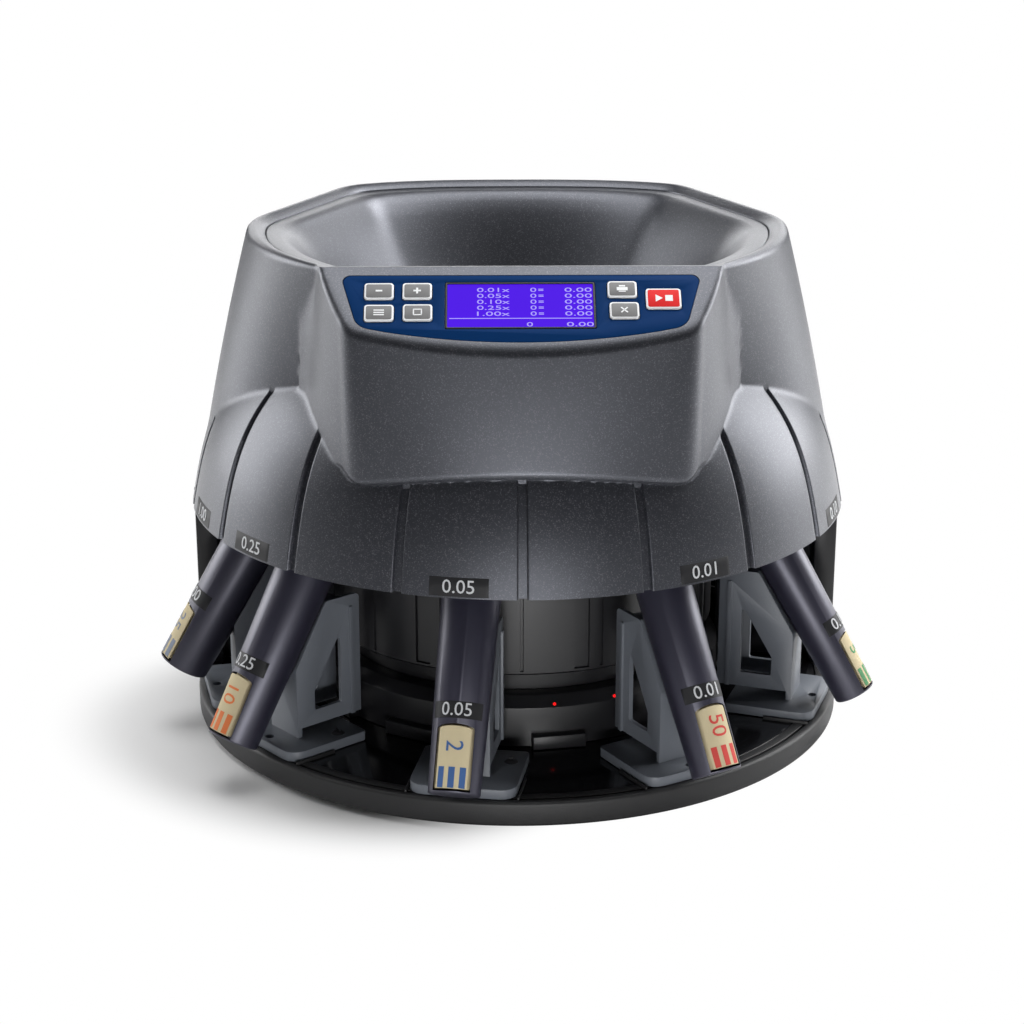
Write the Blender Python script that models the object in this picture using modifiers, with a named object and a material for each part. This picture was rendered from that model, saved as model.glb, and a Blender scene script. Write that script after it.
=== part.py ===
# Coin counter with five wrapper tubes: a segmented domed housing on a round tray.
#
# Metres, +Z up. The operator stands at -Y, and the origin is the middle of the round
# tray's underside, just above the rubber feet. Azimuths are degrees from -Y, turning
# towards +X. Tube stations are built in a local frame with +X pointing away from the
# middle, and console pieces in a local frame that lies in the sloping panel.

from math import acos, asin, atan, atan2, copysign, cos, pi, radians, sin, tan

import bmesh
import bpy
from mathutils import Matrix, Vector

# Clearances and drawing steps
SEAT_GAP = 0.0003
CUT_OVERRUN = 0.004
MERGE_DISTANCE = 0.00001
OUTER_STEPS = 54
INNER_STEPS = 32
SMALL_STEPS = 12
ARC_STEPS = 4
SMOOTH_ANGLE = radians(32)

# Round tray and feet
PAD_RADIUS = 0.009
PAD_DROP = 0.0025
PAD_RECESS = 0.0015
PAD_CIRCLE = 0.140
PAD_AZIMUTHS = (-38, 38, 142, 218)
TRAY_REACH = 0.0013
TRAY_BOTTOM = 0.0
TRAY_TOP = 0.0130
TRAY_EDGE = 0.0012
TRAY_BAND = 0.0040
TRAY_GROOVE_WIDTH = 0.0015
TRAY_GROOVE_DEPTH = 0.0030
TRAY_LEDGE_WIDTH = 0.0045
TRAY_FLOOR_STEP = 0.0003
RAIL_WIDTH = 0.0010
RAIL_HEIGHT = 0.0015
RAIL_LENGTH = 0.0240

# Skirt: a dome turned from one arc, split by radial slots
SKIRT_RADIUS = 0.1770
REAR_CUT = 0.0245
SKIRT_BOTTOM = 0.1186
SKIRT_ARC_RADIUS = 0.1050
SKIRT_ARC_TOP = 0.2020
SKIRT_DIP = 0.0024
DIP_PEAK_SHARE = 6.75
SKIRT_STEPS = 8
SLOT_PITCH = 20
SLOT_COUNT_HALF = 5
SLOT_WIDTH = 0.0018
SLOT_DEPTH = 0.0014
SLOT_RELIEF = 0.0010
WALL = 0.0030

# Body: a loft from a wide oval to the hopper's rim
BODY_BOTTOM = 0.1480
BODY_SHARES = (0.0, 0.35, 0.6, 0.8, 1.0)
RIM_TOP = 0.2660
RIM_SHOULDER = 0.0035
BODY_SIDE_INSET = 0.0023
BODY_HALF_WIDTH_TOP = 0.1425
BODY_FRONT_LOW = 0.1180
BODY_FRONT_TOP = 0.1600
BODY_FRONT_FLARE_SHARE = 0.35
BODY_FRONT_LIMIT = 0.1145
BODY_CENTRE_TOP = 0.0050
BODY_BACK_INSET = 0.0010
BODY_BACK_TOP = 0.1285
BODY_BULGE = 0.0020
BACK_POWER_LOW_SHARE = 2.0
BACK_POWER_GAIN_SHARE = 0.8
BACK_CORNER_TURN = radians(24)
BACK_CORNER_SHARE = 0.04
RIM_CREST = 0.0035
RIM_LIP = 0.0092
RIM_LIP_DROP = 0.0032
RIM_ROUND_SHARES = ((0.0, 0.0), (0.17, 0.57), (0.63, 0.91), (1.0, 1.0))

# Hopper bowl, hung in the rim
BOWL_SEAT_DEPTH = 0.0064
BOWL_SEAT_WIDTH = 0.0040
BOWL_FLANGE = 0.0026
BOWL_LEDGE = 0.0080
BOWL_WALL = 0.0030
NECK_RADIUS = 0.0800
NECK_WALL = 0.0025
NECK_HEIGHT = 0.0075
BOWL_SHARES = ((0.16, 0.08), (0.50, 0.42), (0.86, 0.80), (1.0, 1.0))
ROOF_THICKNESS = 0.0031

# Console with its sloping panel
PANEL_EDGE_Y = -0.1130
PANEL_SLOPE = atan(31 / 42)
CONSOLE_TOP_SIDE = 0.0945
CONSOLE_TOP_FRONT = -0.1553
CONSOLE_TOP_BOW = 0.3540
CONSOLE_TOP_CORNER = 0.0130
CONSOLE_TOP_BACK = 0.0200
CONSOLE_TOP_TAPER_SHARE = 0.3027
CONSOLE_LOW_SIDE = 0.0975
CONSOLE_LOW_FRONT = -0.1655
CONSOLE_LOW_BOW = 0.1900
CONSOLE_LOW_CORNER = 0.0170
CONSOLE_LOW_BACK = 0.0400
CONSOLE_LOW_TAPER_SHARE = 0.4360
CONSOLE_EDGE = 0.0020
CONSOLE_ROOF = 0.0040
CONSOLE_BACK_INSET = 0.0220
CONSOLE_BACK_SHARE = 0.85
CONSOLE_SINK = 0.0005
CONSOLE_RIM_WALL = 0.0050
EDGE_ROUND_SHARES = ((0.0, 1.0), (0.3, 0.3), (1.0, 0.0))
CORNER_REACH_SHARE = 0.6
FRONT_SHARES = (0.75, 0.5, 0.25, 0.0)
OUTLINE_PASSES = 8

# Panel plate, display and keys, in the panel's own frame: across and down the slope
PLATE_THICKNESS = 0.0015
PLATE_TOP = 0.0055
PLATE_HALF_WIDTH = 0.0865
PLATE_SIDE_FALL = 0.0086
PLATE_FRONT_DOWN = 0.0469
PLATE_FRONT_BOW = 0.3200
PLATE_TOP_RADIUS = 0.0040
PLATE_LOW_RADIUS = 0.0095
WINDOW_CENTRE = (-0.0006, 0.0243)
WINDOW_SIZE = (0.0712, 0.0285)
WINDOW_THICKNESS = 0.0020
WINDOW_LEDGE = 0.0015
KEY_CLEARANCE = 0.0004
KEY_HEIGHT = 0.0010
KEY_TRAVEL = 0.0008
KEY_CORNER = 0.0014
KEY_FLANGE = 0.0012
KEY_FLANGE_THICKNESS = 0.0009
KEY_SIZE = (0.0140, 0.0100)
START_KEY_SIZE = (0.0168, 0.0124)
KEYS = {
    "minus_key": (-0.0679, 0.0158, KEY_SIZE),
    "plus_key": (-0.0497, 0.0158, KEY_SIZE),
    "mode_key": (-0.0677, 0.0293, KEY_SIZE),
    "set_key": (-0.0494, 0.0291, KEY_SIZE),
    "print_key": (0.0481, 0.0150, KEY_SIZE),
    "clear_key": (0.0487, 0.0281, KEY_SIZE),
    "start_key": (0.0676, 0.0209, START_KEY_SIZE),
}
BOARD_THICKNESS = 0.0016
BOARD_SIZE = (0.1500, 0.0330)
BOARD_DOWN = 0.0225
BOARD_POST_RADIUS = 0.0014
BOARD_POST_PLACES = ((-0.0570, 0.0075), (0.0600, 0.0075), (-0.0570, 0.0372), (0.0600, 0.0372))
SWITCH_GAP = 0.0004
DISPLAY_MARGIN = 0.0008

# Column, sensor ring and rear wall
COLUMN_RADIUS = 0.1080
COLUMN_LOW = 0.0510
COLUMN_HIGH = 0.1180
COLUMN_NECK = 0.0980
COLUMN_HEAD = 0.0780
COLUMN_HEAD_LOW = 0.1380
COLUMN_WALL = 0.0025
COLUMN_LINES = 16
COLUMN_LINE_WIDTH = 0.0012
COLUMN_LINE_DEPTH = 0.0010
COLUMN_BAY_WIDTH = 0.0075
COLUMN_BAY_DEPTH = 0.0014
COLUMN_BAY_OFFSET = 5.0
COLUMN_LINE_START = 1.2
RING_RADIUS = 0.1120
RING_TOP_RADIUS = 0.1060
RING_TOP = 0.0395
RING_SHOULDER = 0.0345
RING_BLOCK_SIZE = (0.0060, 0.0170, 0.0075)
RING_BLOCK_OFFSET = 18
WALL_FRONT = 0.0025
WALL_STEP = 0.0120
WALL_STEP_X = 0.1660
WALL_GAP_X = 0.1130
WALL_ARC_STEPS = 14

# Deck, sorting ring and chutes
DECK_BOTTOM = 0.1760
DECK_THICKNESS = 0.0030
DECK_MARGIN = 0.0020
DECK_BOSS_RADIUS = 0.0155
DECK_BOSS_DROP = 0.0060
SORT_INNER = 0.1008
SORT_OUTER = 0.1320
SORT_THICKNESS = 0.0050
SORT_RAIL_WIDTH = 0.0020
SORT_RAIL_HEIGHT = 0.0050
CHUTE_RADIUS = 0.0155
CHUTE_WALL = 0.0015
CHUTE_TOP_RADIUS = 0.1165
CHUTE_LOW_RADIUS = 0.1420
CHUTE_LOW = 0.1195
CHUTE_FLANGE = 0.0015
CHUTE_FLANGE_WIDTH = 0.0005
OUTLET_LENGTH = 0.0250

# Feed disc and its drive
DISC_RADIUS = 0.1000
DISC_THICKNESS = 0.0030
DISC_DROP = 0.0002
DISC_RIB_LENGTH = 0.0400
DISC_RIB_WIDTH = 0.0040
DISC_RIB_HEIGHT = 0.0012
DISC_RIB_COUNT = 3
CAP_RADIUS = 0.0200
CAP_HEIGHT = 0.0190
CAP_EDGE = 0.0030
CAP_TIP = 0.0050
SHAFT_RADIUS = 0.0040
SHAFT_LOW = 0.1440
SHAFT_IN_CAP = 0.0120
RUNNING_GAP = 0.0003
BEARING_RADIUS = 0.0110
BEARING_HEIGHT = 0.0060
GEAR_MODULE = 0.0015
GEAR_TEETH = 48
PINION_TEETH = 12
GEAR_LOW = 0.1580
GEAR_HEIGHT = 0.0070
GEAR_HUB_RADIUS = 0.0090
GEAR_HUB_HEIGHT = 0.0030
GEAR_BACKLASH_SHARE = 0.40
TOOTH_TIP_SHARE = 0.24
TOOTH_ROOT_SHARE = 1.25
ADDENDUM_SHARE = 0.9
DEDENDUM_SHARE = 1.2
PINION_BORE = 0.0030
BRACKET_PLATE_LOW = 0.1500
BRACKET_PLATE_THICKNESS = 0.0030
BRACKET_PLATE_RADIUS = 0.0700
HANGER_RADIUS = 0.0040
HANGER_CIRCLE = 0.0630
HANGER_AZIMUTHS = (30, 150, 270)
MOTOR_RADIUS = 0.0185
MOTOR_HEIGHT = 0.0550
MOTOR_EDGE = 0.0015

# Tube stations
STATIONS = {"100": -77, "025": -50, "005": -10, "001": 30, "010": 70}
TUBE_SIZE_SHARES = {"100": 1.05, "025": 1.03, "005": 1.0, "001": 0.97, "010": 0.86}
TUBE_LEAN = radians(31)
TUBE_MOUTH_SHIFT = 0.0012
TUBE_MOUTH_DROP = 0.0110
TUBE_LENGTH = 0.1000
SHORT_TUBE = "100"
SHORT_TUBE_RISE = 0.0098
TUBE_TOP_RADIUS = 0.0149
TUBE_LOW_RADIUS = 0.0129
TUBE_WALL = 0.0016
TUBE_FLOOR = 0.0020
TUBE_STEPS = 20
TUBE_WINDOW_WIDTH = 0.0160
TUBE_WINDOW_LOW = 0.0005
TUBE_WINDOW_HIGH = 0.0340
TUBE_WINDOW_RISE = 0.0030
WINDOW_STEPS = 8
WRAPPER_WALL = 0.0006
WRAPPER_LENGTH = 0.0760
WRAPPER_STEPS = 16

# Tube brackets, in the station's frame: X away from the middle, Z up
PLATE_OUTER_HALF = 0.0120
PLATE_SIDE = 0.0024
PLATE_STANDOFF = 0.0010
PLATE_LOW = 0.0232
PLATE_HIGH = 0.0890
PLATE_SETBACK = 0.0126
KNEE_Z = 0.0560
WEB_THICKNESS = 0.0026
PLATE_ROUND = 0.0025
FOOT_THICKNESS = 0.0050
FOOT_HALF_WIDTH = 0.0270
FOOT_BACK = 0.1270
FOOT_CORNER = 0.0080
FOOT_BACK_ROUND = 0.0021
FOOT_HOLE_RADIUS = 0.0023
FOOT_HOLE_INSET = 0.0051
FRAME_WIDTH = 0.0125
FRAME_FRONT_WIDTH = 0.0112
SLANT_WIDTH = 0.0198
WINDOW_PEAK = 0.0018
WINDOW_ROUND = 0.0010
WINDOW_PEAK_ROUND = 0.0006
OPENING_FOOT = 0.0080
RIB_WIDTH = 0.0025
RIB_HEIGHT = 0.0012
RIB_OFFSET = 0.0058
RIB_MARGIN = 0.0060
RIB_ROUND_SHARE = 0.45
CRADLE_GAP = 0.0004

# Sockets at the back
INLET_SIZE = (0.0275, 0.0200)
INLET_DEPTH = 0.0200
INLET_PLACE = (-0.0480, 0.0420)
INLET_FLANGE = 0.0040
INLET_FLANGE_THICKNESS = 0.0020
INLET_CAVITY = (0.0215, 0.0140)
INLET_CAVITY_DEPTH = 0.0140
INLET_PIN_RADIUS = 0.0012
INLET_PIN_PITCH = 0.0070
INLET_PIN_LENGTH = 0.0100
SWITCH_SIZE = (0.0200, 0.0130)
SWITCH_PLACE = (-0.0480, 0.0740)
SWITCH_DEPTH = 0.0130
SWITCH_FLANGE = 0.0015
SWITCH_WALL = 0.0012
ROCKER_TILT = 10
ROCKER_CORNER = 26
ROCKER_BASE = 16
ROCKER_CREST_SHARE = 0.85
ROCKER_AXIS_DEPTH = 0.0015
PORT_SIZE = (0.0160, 0.0140)
PORT_PLACE = (0.0480, 0.0780)
PORT_DEPTH = 0.0120
PORT_FLANGE = 0.0012
PORT_CAVITY = (0.0118, 0.0090)
SUPPLY_SIZE = (0.0700, 0.0290, 0.0420)
SUPPLY_PLACE = (0.0300, 0.1320)

# Colours: red, green, blue, then roughness and metallic shares
GREY_SHELL = (0.133, 0.137, 0.150, 0.45, 0.0)
BLACK_PLASTIC = (0.018, 0.018, 0.020, 0.35, 0.0)
TRAY_BLACK = (0.024, 0.024, 0.024, 0.50, 0.0)
BRACKET_GREY = (0.110, 0.125, 0.140, 0.50, 0.0)
TUBE_BLACK = (0.022, 0.022, 0.038, 0.25, 0.0)
PAPER = (0.500, 0.420, 0.260, 0.80, 0.0)
PANEL_BLUE = (0.000, 0.028, 0.114, 0.30, 0.0)
KEY_GREY = (0.290, 0.285, 0.285, 0.55, 0.0)
KEY_RED = (0.823, 0.023, 0.025, 0.45, 0.0)
DISPLAY_VIOLET = (0.080, 0.004, 0.810, 0.20, 0.0)
BOARD_GREEN = (0.010, 0.120, 0.040, 0.50, 0.0)
STEEL = (0.560, 0.570, 0.580, 0.30, 1.0)
RUBBER = (0.020, 0.020, 0.020, 0.90, 0.0)
GEAR_WHITE = (0.700, 0.700, 0.660, 0.50, 0.0)

# Levels worked out from the sizes above
DECK_TOP = DECK_BOTTOM + DECK_THICKNESS
SORT_LOW = DECK_TOP + SEAT_GAP
SORT_TOP = SORT_LOW + SORT_THICKNESS
DISC_TOP = SORT_TOP + DISC_DROP
DISC_LOW = DISC_TOP - DISC_THICKNESS
NECK_LOW = SORT_TOP + SORT_RAIL_HEIGHT - SEAT_GAP * 2
SKIRT_ARC_CENTRE = SKIRT_RADIUS - SKIRT_ARC_RADIUS
REAR_FLAT = SKIRT_RADIUS - REAR_CUT
TRAY_RADIUS = SKIRT_RADIUS + TRAY_REACH
BODY_HALF_WIDTH_LOW = SKIRT_RADIUS - BODY_SIDE_INSET
BODY_BACK_LOW = REAR_FLAT - BODY_BACK_INSET
DECK_RADIUS = CHUTE_TOP_RADIUS + CHUTE_RADIUS + DECK_MARGIN
STAND_Z = TRAY_TOP + SEAT_GAP
FOOT_TOP = STAND_Z + FOOT_THICKNESS
BOWL_SEAT_Z = RIM_TOP - BOWL_SEAT_DEPTH
CAVITY_TOP = BOWL_SEAT_Z - ROOF_THICKNESS
BOWL_INSET = RIM_LIP + SEAT_GAP * 2
BOWL_TOP = BOWL_SEAT_Z + SEAT_GAP + BOWL_FLANGE
GEAR_DISTANCE = GEAR_MODULE * (GEAR_TEETH + PINION_TEETH) / 2
TUBE_MOUTH_RADIUS = CHUTE_LOW_RADIUS - TUBE_MOUTH_SHIFT
TUBE_MOUTH_Z = CHUTE_LOW - TUBE_MOUTH_DROP
PLATE_INNER = RING_RADIUS + RING_BLOCK_SIZE[0] + PLATE_STANDOFF
FOOT_FRONT = TRAY_RADIUS - TRAY_BAND

parts = bpy.data.collections.new("coin_counter")
cutters = bpy.data.collections.new("cutters")


def clear_scene():
    """Remove the objects that are already there and link the two collections."""
    for old in list(bpy.data.objects):
        bpy.data.objects.remove(old, do_unlink=True)
    bpy.context.scene.collection.children.link(parts)
    bpy.context.scene.collection.children.link(cutters)


def new_object(name, mesh, matrix=None):
    """Put a mesh into the cutter collection, where every solid starts."""
    solid = bpy.data.objects.new(name, mesh)
    cutters.objects.link(solid)
    solid.hide_render = True
    solid.display_type = "WIRE"
    if matrix is not None:
        solid.matrix_world = matrix
    return solid


def from_bmesh(name, bm):
    """Close a bmesh into a solid with outward faces."""
    bmesh.ops.recalc_face_normals(bm, faces=bm.faces)
    mesh = bpy.data.meshes.new(name)
    bm.to_mesh(mesh)
    bm.free()
    return new_object(name, mesh)


def settle(solid):
    """Replace a solid's mesh by its evaluated mesh and drop the modifiers."""
    bpy.context.view_layer.update()
    graph = bpy.context.evaluated_depsgraph_get()
    mesh = bpy.data.meshes.new_from_object(solid.evaluated_get(graph), depsgraph=graph)
    solid.modifiers.clear()
    solid.data = mesh
    return solid


def boolean(solid, other, operation):
    """Cut or join a solid with another one, which is then removed."""
    modifier = solid.modifiers.new(operation.lower(), "BOOLEAN")
    modifier.operation = operation
    modifier.object = other
    modifier.solver = "EXACT"
    settle(solid)
    bpy.data.objects.remove(other, do_unlink=True)
    return solid


def cut(solid, other):
    """Take another solid out of this one."""
    return boolean(solid, other, "DIFFERENCE")


def join(solid, other):
    """Add another solid to this one."""
    return boolean(solid, other, "UNION")


def box(name, size, centre, matrix=None):
    """A box from its three sizes and its centre."""
    bm = bmesh.new()
    place = Matrix.Translation(centre) @ Matrix.Diagonal((*size, 1))
    bmesh.ops.create_cube(bm, size=1, matrix=place)
    solid = from_bmesh(name, bm)
    if matrix is not None:
        solid.matrix_world = matrix
    return solid


def rod(name, radius, low, high, place=(0, 0), steps=SMALL_STEPS, top_radius=None):
    """An upright cylinder or cone between two levels."""
    bm = bmesh.new()
    end = radius if top_radius is None else top_radius
    centre = Matrix.Translation((*place, (low + high) / 2))
    bmesh.ops.create_cone(bm, cap_ends=True, segments=steps, radius1=radius, radius2=end,
                          depth=high - low, matrix=centre)
    return from_bmesh(name, bm)


def turned(name, profile, steps=OUTER_STEPS, ring=False):
    """Turn a profile of (radius, level) points about Z with a Screw modifier.

    The profile runs down the outer side. A ring's profile is closed.
    """
    mesh = bpy.data.meshes.new(name)
    count = len(profile)
    edges = [(i, i + 1) for i in range(count - 1)]
    if ring:
        edges.append((count - 1, 0))
    mesh.from_pydata([(r, 0, z) for r, z in profile], edges, [])
    solid = new_object(name, mesh)
    screw = solid.modifiers.new("turn", "SCREW")
    screw.steps = steps
    screw.render_steps = steps
    screw.use_merge_vertices = True
    screw.merge_threshold = MERGE_DISTANCE
    settle(solid)
    bm = bmesh.new()
    bm.from_mesh(solid.data)
    bmesh.ops.recalc_face_normals(bm, faces=bm.faces)
    bm.to_mesh(solid.data)
    bm.free()
    return solid


def extruded(name, outline, thickness):
    """A flat outline given a thickness, centred on its own plane."""
    curve = bpy.data.curves.new(name, "CURVE")
    curve.dimensions = "2D"
    curve.fill_mode = "BOTH"
    curve.extrude = thickness / 2
    spline = curve.splines.new("POLY")
    spline.points.add(len(outline) - 1)
    for point, (x, y) in zip(spline.points, outline):
        point.co = (x, y, 0, 1)
    spline.use_cyclic_u = True
    flat = bpy.data.objects.new(name, curve)
    cutters.objects.link(flat)
    bpy.context.view_layer.update()
    graph = bpy.context.evaluated_depsgraph_get()
    mesh = bpy.data.meshes.new_from_object(flat.evaluated_get(graph), depsgraph=graph)
    bpy.data.objects.remove(flat, do_unlink=True)
    bm = bmesh.new()
    bm.from_mesh(mesh)
    bmesh.ops.remove_doubles(bm, verts=bm.verts, dist=MERGE_DISTANCE)
    return from_bmesh(name, bm)


def slab(name, outline, low, high):
    """An outline in plan, raised between two levels."""
    solid = extruded(name, outline, high - low)
    solid.data.transform(Matrix.Translation((0, 0, (low + high) / 2)))
    return solid


def side_plate(name, outline, half_width, middle=0):
    """An outline drawn in the X-Z plane, thickened along Y."""
    solid = extruded(name, outline, half_width * 2)
    solid.data.transform(Matrix.Rotation(pi / 2, 4, "X"))
    solid.data.transform(Matrix.Translation((0, middle, 0)))
    return solid


def loft(name, rings, closed=False):
    """Skin rings of equal point counts, with caps unless the rings form a loop."""
    bm = bmesh.new()
    rows = [[bm.verts.new(point) for point in ring] for ring in rings]
    pairs = list(zip(rows, rows[1:]))
    if closed:
        pairs.append((rows[-1], rows[0]))
    else:
        bm.faces.new(rows[0])
        bm.faces.new(rows[-1])
    for low, high in pairs:
        count = len(low)
        for i in range(count):
            after = (i + 1) % count
            bm.faces.new((low[i], low[after], high[after], high[i]))
    return from_bmesh(name, bm)


def fillet(corner, before, after, radius, steps=ARC_STEPS):
    """Points of a round corner between two straight lines."""
    c = Vector(corner)
    u = (Vector(before) - c).normalized()
    v = (Vector(after) - c).normalized()
    half = acos(max(-1, min(1, u.dot(v)))) / 2
    reach = radius / max(sin(half) / cos(half), MERGE_DISTANCE)
    middle = c + (u + v).normalized() * (radius / sin(half))
    start = c + u * reach - middle
    end = c + v * reach - middle
    angle = atan2(start.x * end.y - start.y * end.x, start.dot(end))
    points = []
    for i in range(steps + 1):
        turn = Matrix.Rotation(angle * i / steps, 2)
        points.append(tuple(middle + turn @ start))
    return points


def rounded(corners, steps=ARC_STEPS):
    """An outline from (x, y, radius) corners."""
    points = []
    count = len(corners)
    for i, (x, y, radius) in enumerate(corners):
        before = corners[i - 1][:2]
        after = corners[(i + 1) % count][:2]
        if radius > 0:
            points.extend(fillet((x, y), before, after, radius, steps))
        else:
            points.append((x, y))
    return points


def rounded_box(half_x, half_y, radius, steps=ARC_STEPS):
    """A rectangle with round corners about its own middle."""
    corners = [(half_x, -half_y, radius), (half_x, half_y, radius),
               (-half_x, half_y, radius), (-half_x, -half_y, radius)]
    return rounded(corners, steps)


def material(name, finish):
    """A Principled material from a colour, a roughness and a metallic share."""
    red, green, blue, roughness, metallic = finish
    made = bpy.data.materials.new(name)
    made.use_nodes = True
    shader = made.node_tree.nodes["Principled BSDF"]
    shader.inputs["Base Color"].default_value = (red, green, blue, 1)
    shader.inputs["Roughness"].default_value = roughness
    shader.inputs["Metallic"].default_value = metallic
    return made


def publish(solid, finish, smooth=True, parent=None, pivot=None):
    """Move a finished solid into the parts, with its finish, parent and origin."""
    solid.data.materials.clear()
    solid.data.materials.append(material(solid.name, finish))
    if smooth:
        solid.data.shade_smooth()
        solid.data.set_sharp_from_angle(angle=SMOOTH_ANGLE)
    if pivot is not None:
        solid.data.transform(Matrix.Translation(-Vector(pivot)))
        solid.location = pivot
    if parent is not None:
        solid.parent = parent
    cutters.objects.unlink(solid)
    parts.objects.link(solid)
    solid.hide_render = False
    solid.display_type = "TEXTURED"
    solid.data.name = solid.name
    return solid


def empty(name, location=(0, 0, 0), rotation=(0, 0, 0)):
    """An empty that carries a group of pieces."""
    carrier = bpy.data.objects.new(name, None)
    carrier.location = location
    carrier.rotation_euler = rotation
    parts.objects.link(carrier)
    return carrier


def turn_about_z(azimuth):
    """The turn that carries local +X onto an azimuth measured from -Y."""
    return Matrix.Rotation(radians(azimuth - 90), 4, "Z")


def polar(radius, azimuth):
    """Plan coordinates of a point at an azimuth measured from -Y."""
    return radius * sin(radians(azimuth)), -radius * cos(radians(azimuth))


def rear_cutter(limit):
    """A block that takes away all that lies behind a plane across the back."""
    size = (SKIRT_RADIUS * 3, SKIRT_RADIUS, RIM_TOP * 3)
    return box("rear_cutter", size, (0, limit + SKIRT_RADIUS / 2, 0))


def oval(z, inset=0.0, steps=OUTER_STEPS):
    """One section of the body: an oval that is cut straight across behind the console."""
    t = (z - SKIRT_BOTTOM) / (RIM_TOP - SKIRT_BOTTOM)
    bulge = BODY_BULGE * 4 * t * (1 - t)
    flare = max(t - BODY_FRONT_FLARE_SHARE, 0) / (1 - BODY_FRONT_FLARE_SHARE)
    half = BODY_HALF_WIDTH_LOW + (BODY_HALF_WIDTH_TOP - BODY_HALF_WIDTH_LOW) * t + bulge - inset
    front = BODY_FRONT_LOW + (BODY_FRONT_TOP - BODY_FRONT_LOW) * flare ** 2 - inset
    back = BODY_BACK_LOW + (BODY_BACK_TOP - BODY_BACK_LOW) * t - inset
    back_power = BACK_POWER_LOW_SHARE + BACK_POWER_GAIN_SHARE * t
    corner = (half + inset) * (1 - BACK_CORNER_SHARE * t) - inset
    ring = []
    for i in range(steps):
        turn = 2 * pi * i / steps
        s, c = sin(turn), cos(turn)
        power, depth = (2, front) if c > 0 else (back_power, back)
        x = half * abs(s) ** (2 / power) * (1 if s >= 0 else -1)
        y = -depth * abs(c) ** (2 / power) * (1 if c >= 0 else -1)
        y = max(y + BODY_CENTRE_TOP * t, -BODY_FRONT_LIMIT + inset)
        ring.append((*chamfered(x, y, corner), z))
    return ring


def chamfered(x, y, limit):
    """A point behind the middle, kept inside the slanting corner of the body's back."""
    over = abs(x) * cos(BACK_CORNER_TURN) + y * sin(BACK_CORNER_TURN) - limit
    if y <= 0 or over <= 0:
        return x, y
    return x - copysign(over * cos(BACK_CORNER_TURN), x), y - over * sin(BACK_CORNER_TURN)


def circle(radius, z, steps=OUTER_STEPS):
    """A circle with its points at the same turns as an oval's."""
    turns = [2 * pi * i / steps for i in range(steps)]
    return [(radius * sin(a), -radius * cos(a), z) for a in turns]


def blend(ring_a, ring_b, share, z):
    """A ring part of the way from one ring to another, at a level."""
    return [(a[0] + (b[0] - a[0]) * share, a[1] + (b[1] - a[1]) * share, z)
            for a, b in zip(ring_a, ring_b)]


def skirt_arc(high, inset, steps=SKIRT_STEPS):
    """Points up the skirt's arc from its lower edge to a level, evenly by angle."""
    arc = SKIRT_ARC_RADIUS - inset
    end = asin((high - SKIRT_BOTTOM) / arc)
    points = []
    for i in range(steps + 1):
        rise = arc * sin(end * i / steps)
        radius = SKIRT_ARC_CENTRE + arc * cos(end * i / steps) - skirt_dip(rise)
        points.append((radius, SKIRT_BOTTOM + rise))
    return points


def skirt_dip(rise):
    """How far the dome falls short of its arc at a height above its lower edge."""
    share = rise / (SKIRT_ARC_TOP - SKIRT_BOTTOM)
    return SKIRT_DIP * DIP_PEAK_SHARE * share * (1 - share) ** 2


def skirt_solid(name, inset, low, high, steps=OUTER_STEPS, rows=SKIRT_STEPS):
    """The dome as a full solid, for the outside or for the hollow."""
    arc = list(reversed(skirt_arc(high, inset, rows)))
    profile = [(0, high)] + arc
    if low < SKIRT_BOTTOM:
        profile.append((arc[-1][0], low))
    profile.append((0, low))
    return turned(name, profile, steps)


def body_solid(name, inset, low, high, rim, steps=OUTER_STEPS):
    """The body loft, with the rounded rim or a plain top."""
    span = high - low
    rings = [oval(low + span * share, inset, steps) for share in BODY_SHARES]
    if rim:
        crest = RIM_TOP - high
        for across, up in RIM_ROUND_SHARES[1:]:
            z = high + crest * up
            rings.append([(x, y, z) for x, y, _ in oval(high, RIM_CREST * across, steps)])
    return loft(name, rings)


def rim_slope_cutter():
    """A tapered block that dishes the rim's inner edge down to the bowl."""
    fall = RIM_LIP_DROP / (RIM_LIP - RIM_CREST)
    rings = []
    for inset in (RIM_LIP + CUT_OVERRUN, RIM_CREST - CUT_OVERRUN / 2):
        z = RIM_TOP - (inset - RIM_CREST) * fall
        rings.append([(x, y, z) for x, y, _ in oval(RIM_TOP, inset)])
    return loft("rim_slope", rings)


def console_outline(side, front, bow, corner, back, taper, inset):
    """Half of one plan outline of the console, from its back round to the front."""
    side -= inset
    front += inset
    corner -= inset
    back_point = Vector((side, PANEL_EDGE_Y)) + Vector((taper, 1)).normalized() * back
    meet_x = side
    for _ in range(OUTLINE_PASSES):
        meet_y = bowed(front, bow, meet_x)
        meet_x = side + (meet_y - PANEL_EDGE_Y) * taper
    arc_end = meet_x * CORNER_REACH_SHARE
    half = [(side * CONSOLE_BACK_SHARE, PANEL_EDGE_Y + CONSOLE_BACK_INSET + inset),
            tuple(back_point)]
    half += fillet((meet_x, meet_y), back_point, (arc_end, bowed(front, bow, arc_end)), corner)
    half += [(half[-1][0] * share, bowed(front, bow, half[-1][0] * share))
             for share in FRONT_SHARES]
    return half


def bowed(front, bow, x):
    """How far forward a shallow arc lies at a distance from the middle."""
    return front + x * x / (bow * 2)


def mirrored(half):
    """A whole outline from its half on the right, which ends on the middle line."""
    return half + [(-x, y) for x, y in reversed(half[:-1])]


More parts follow.
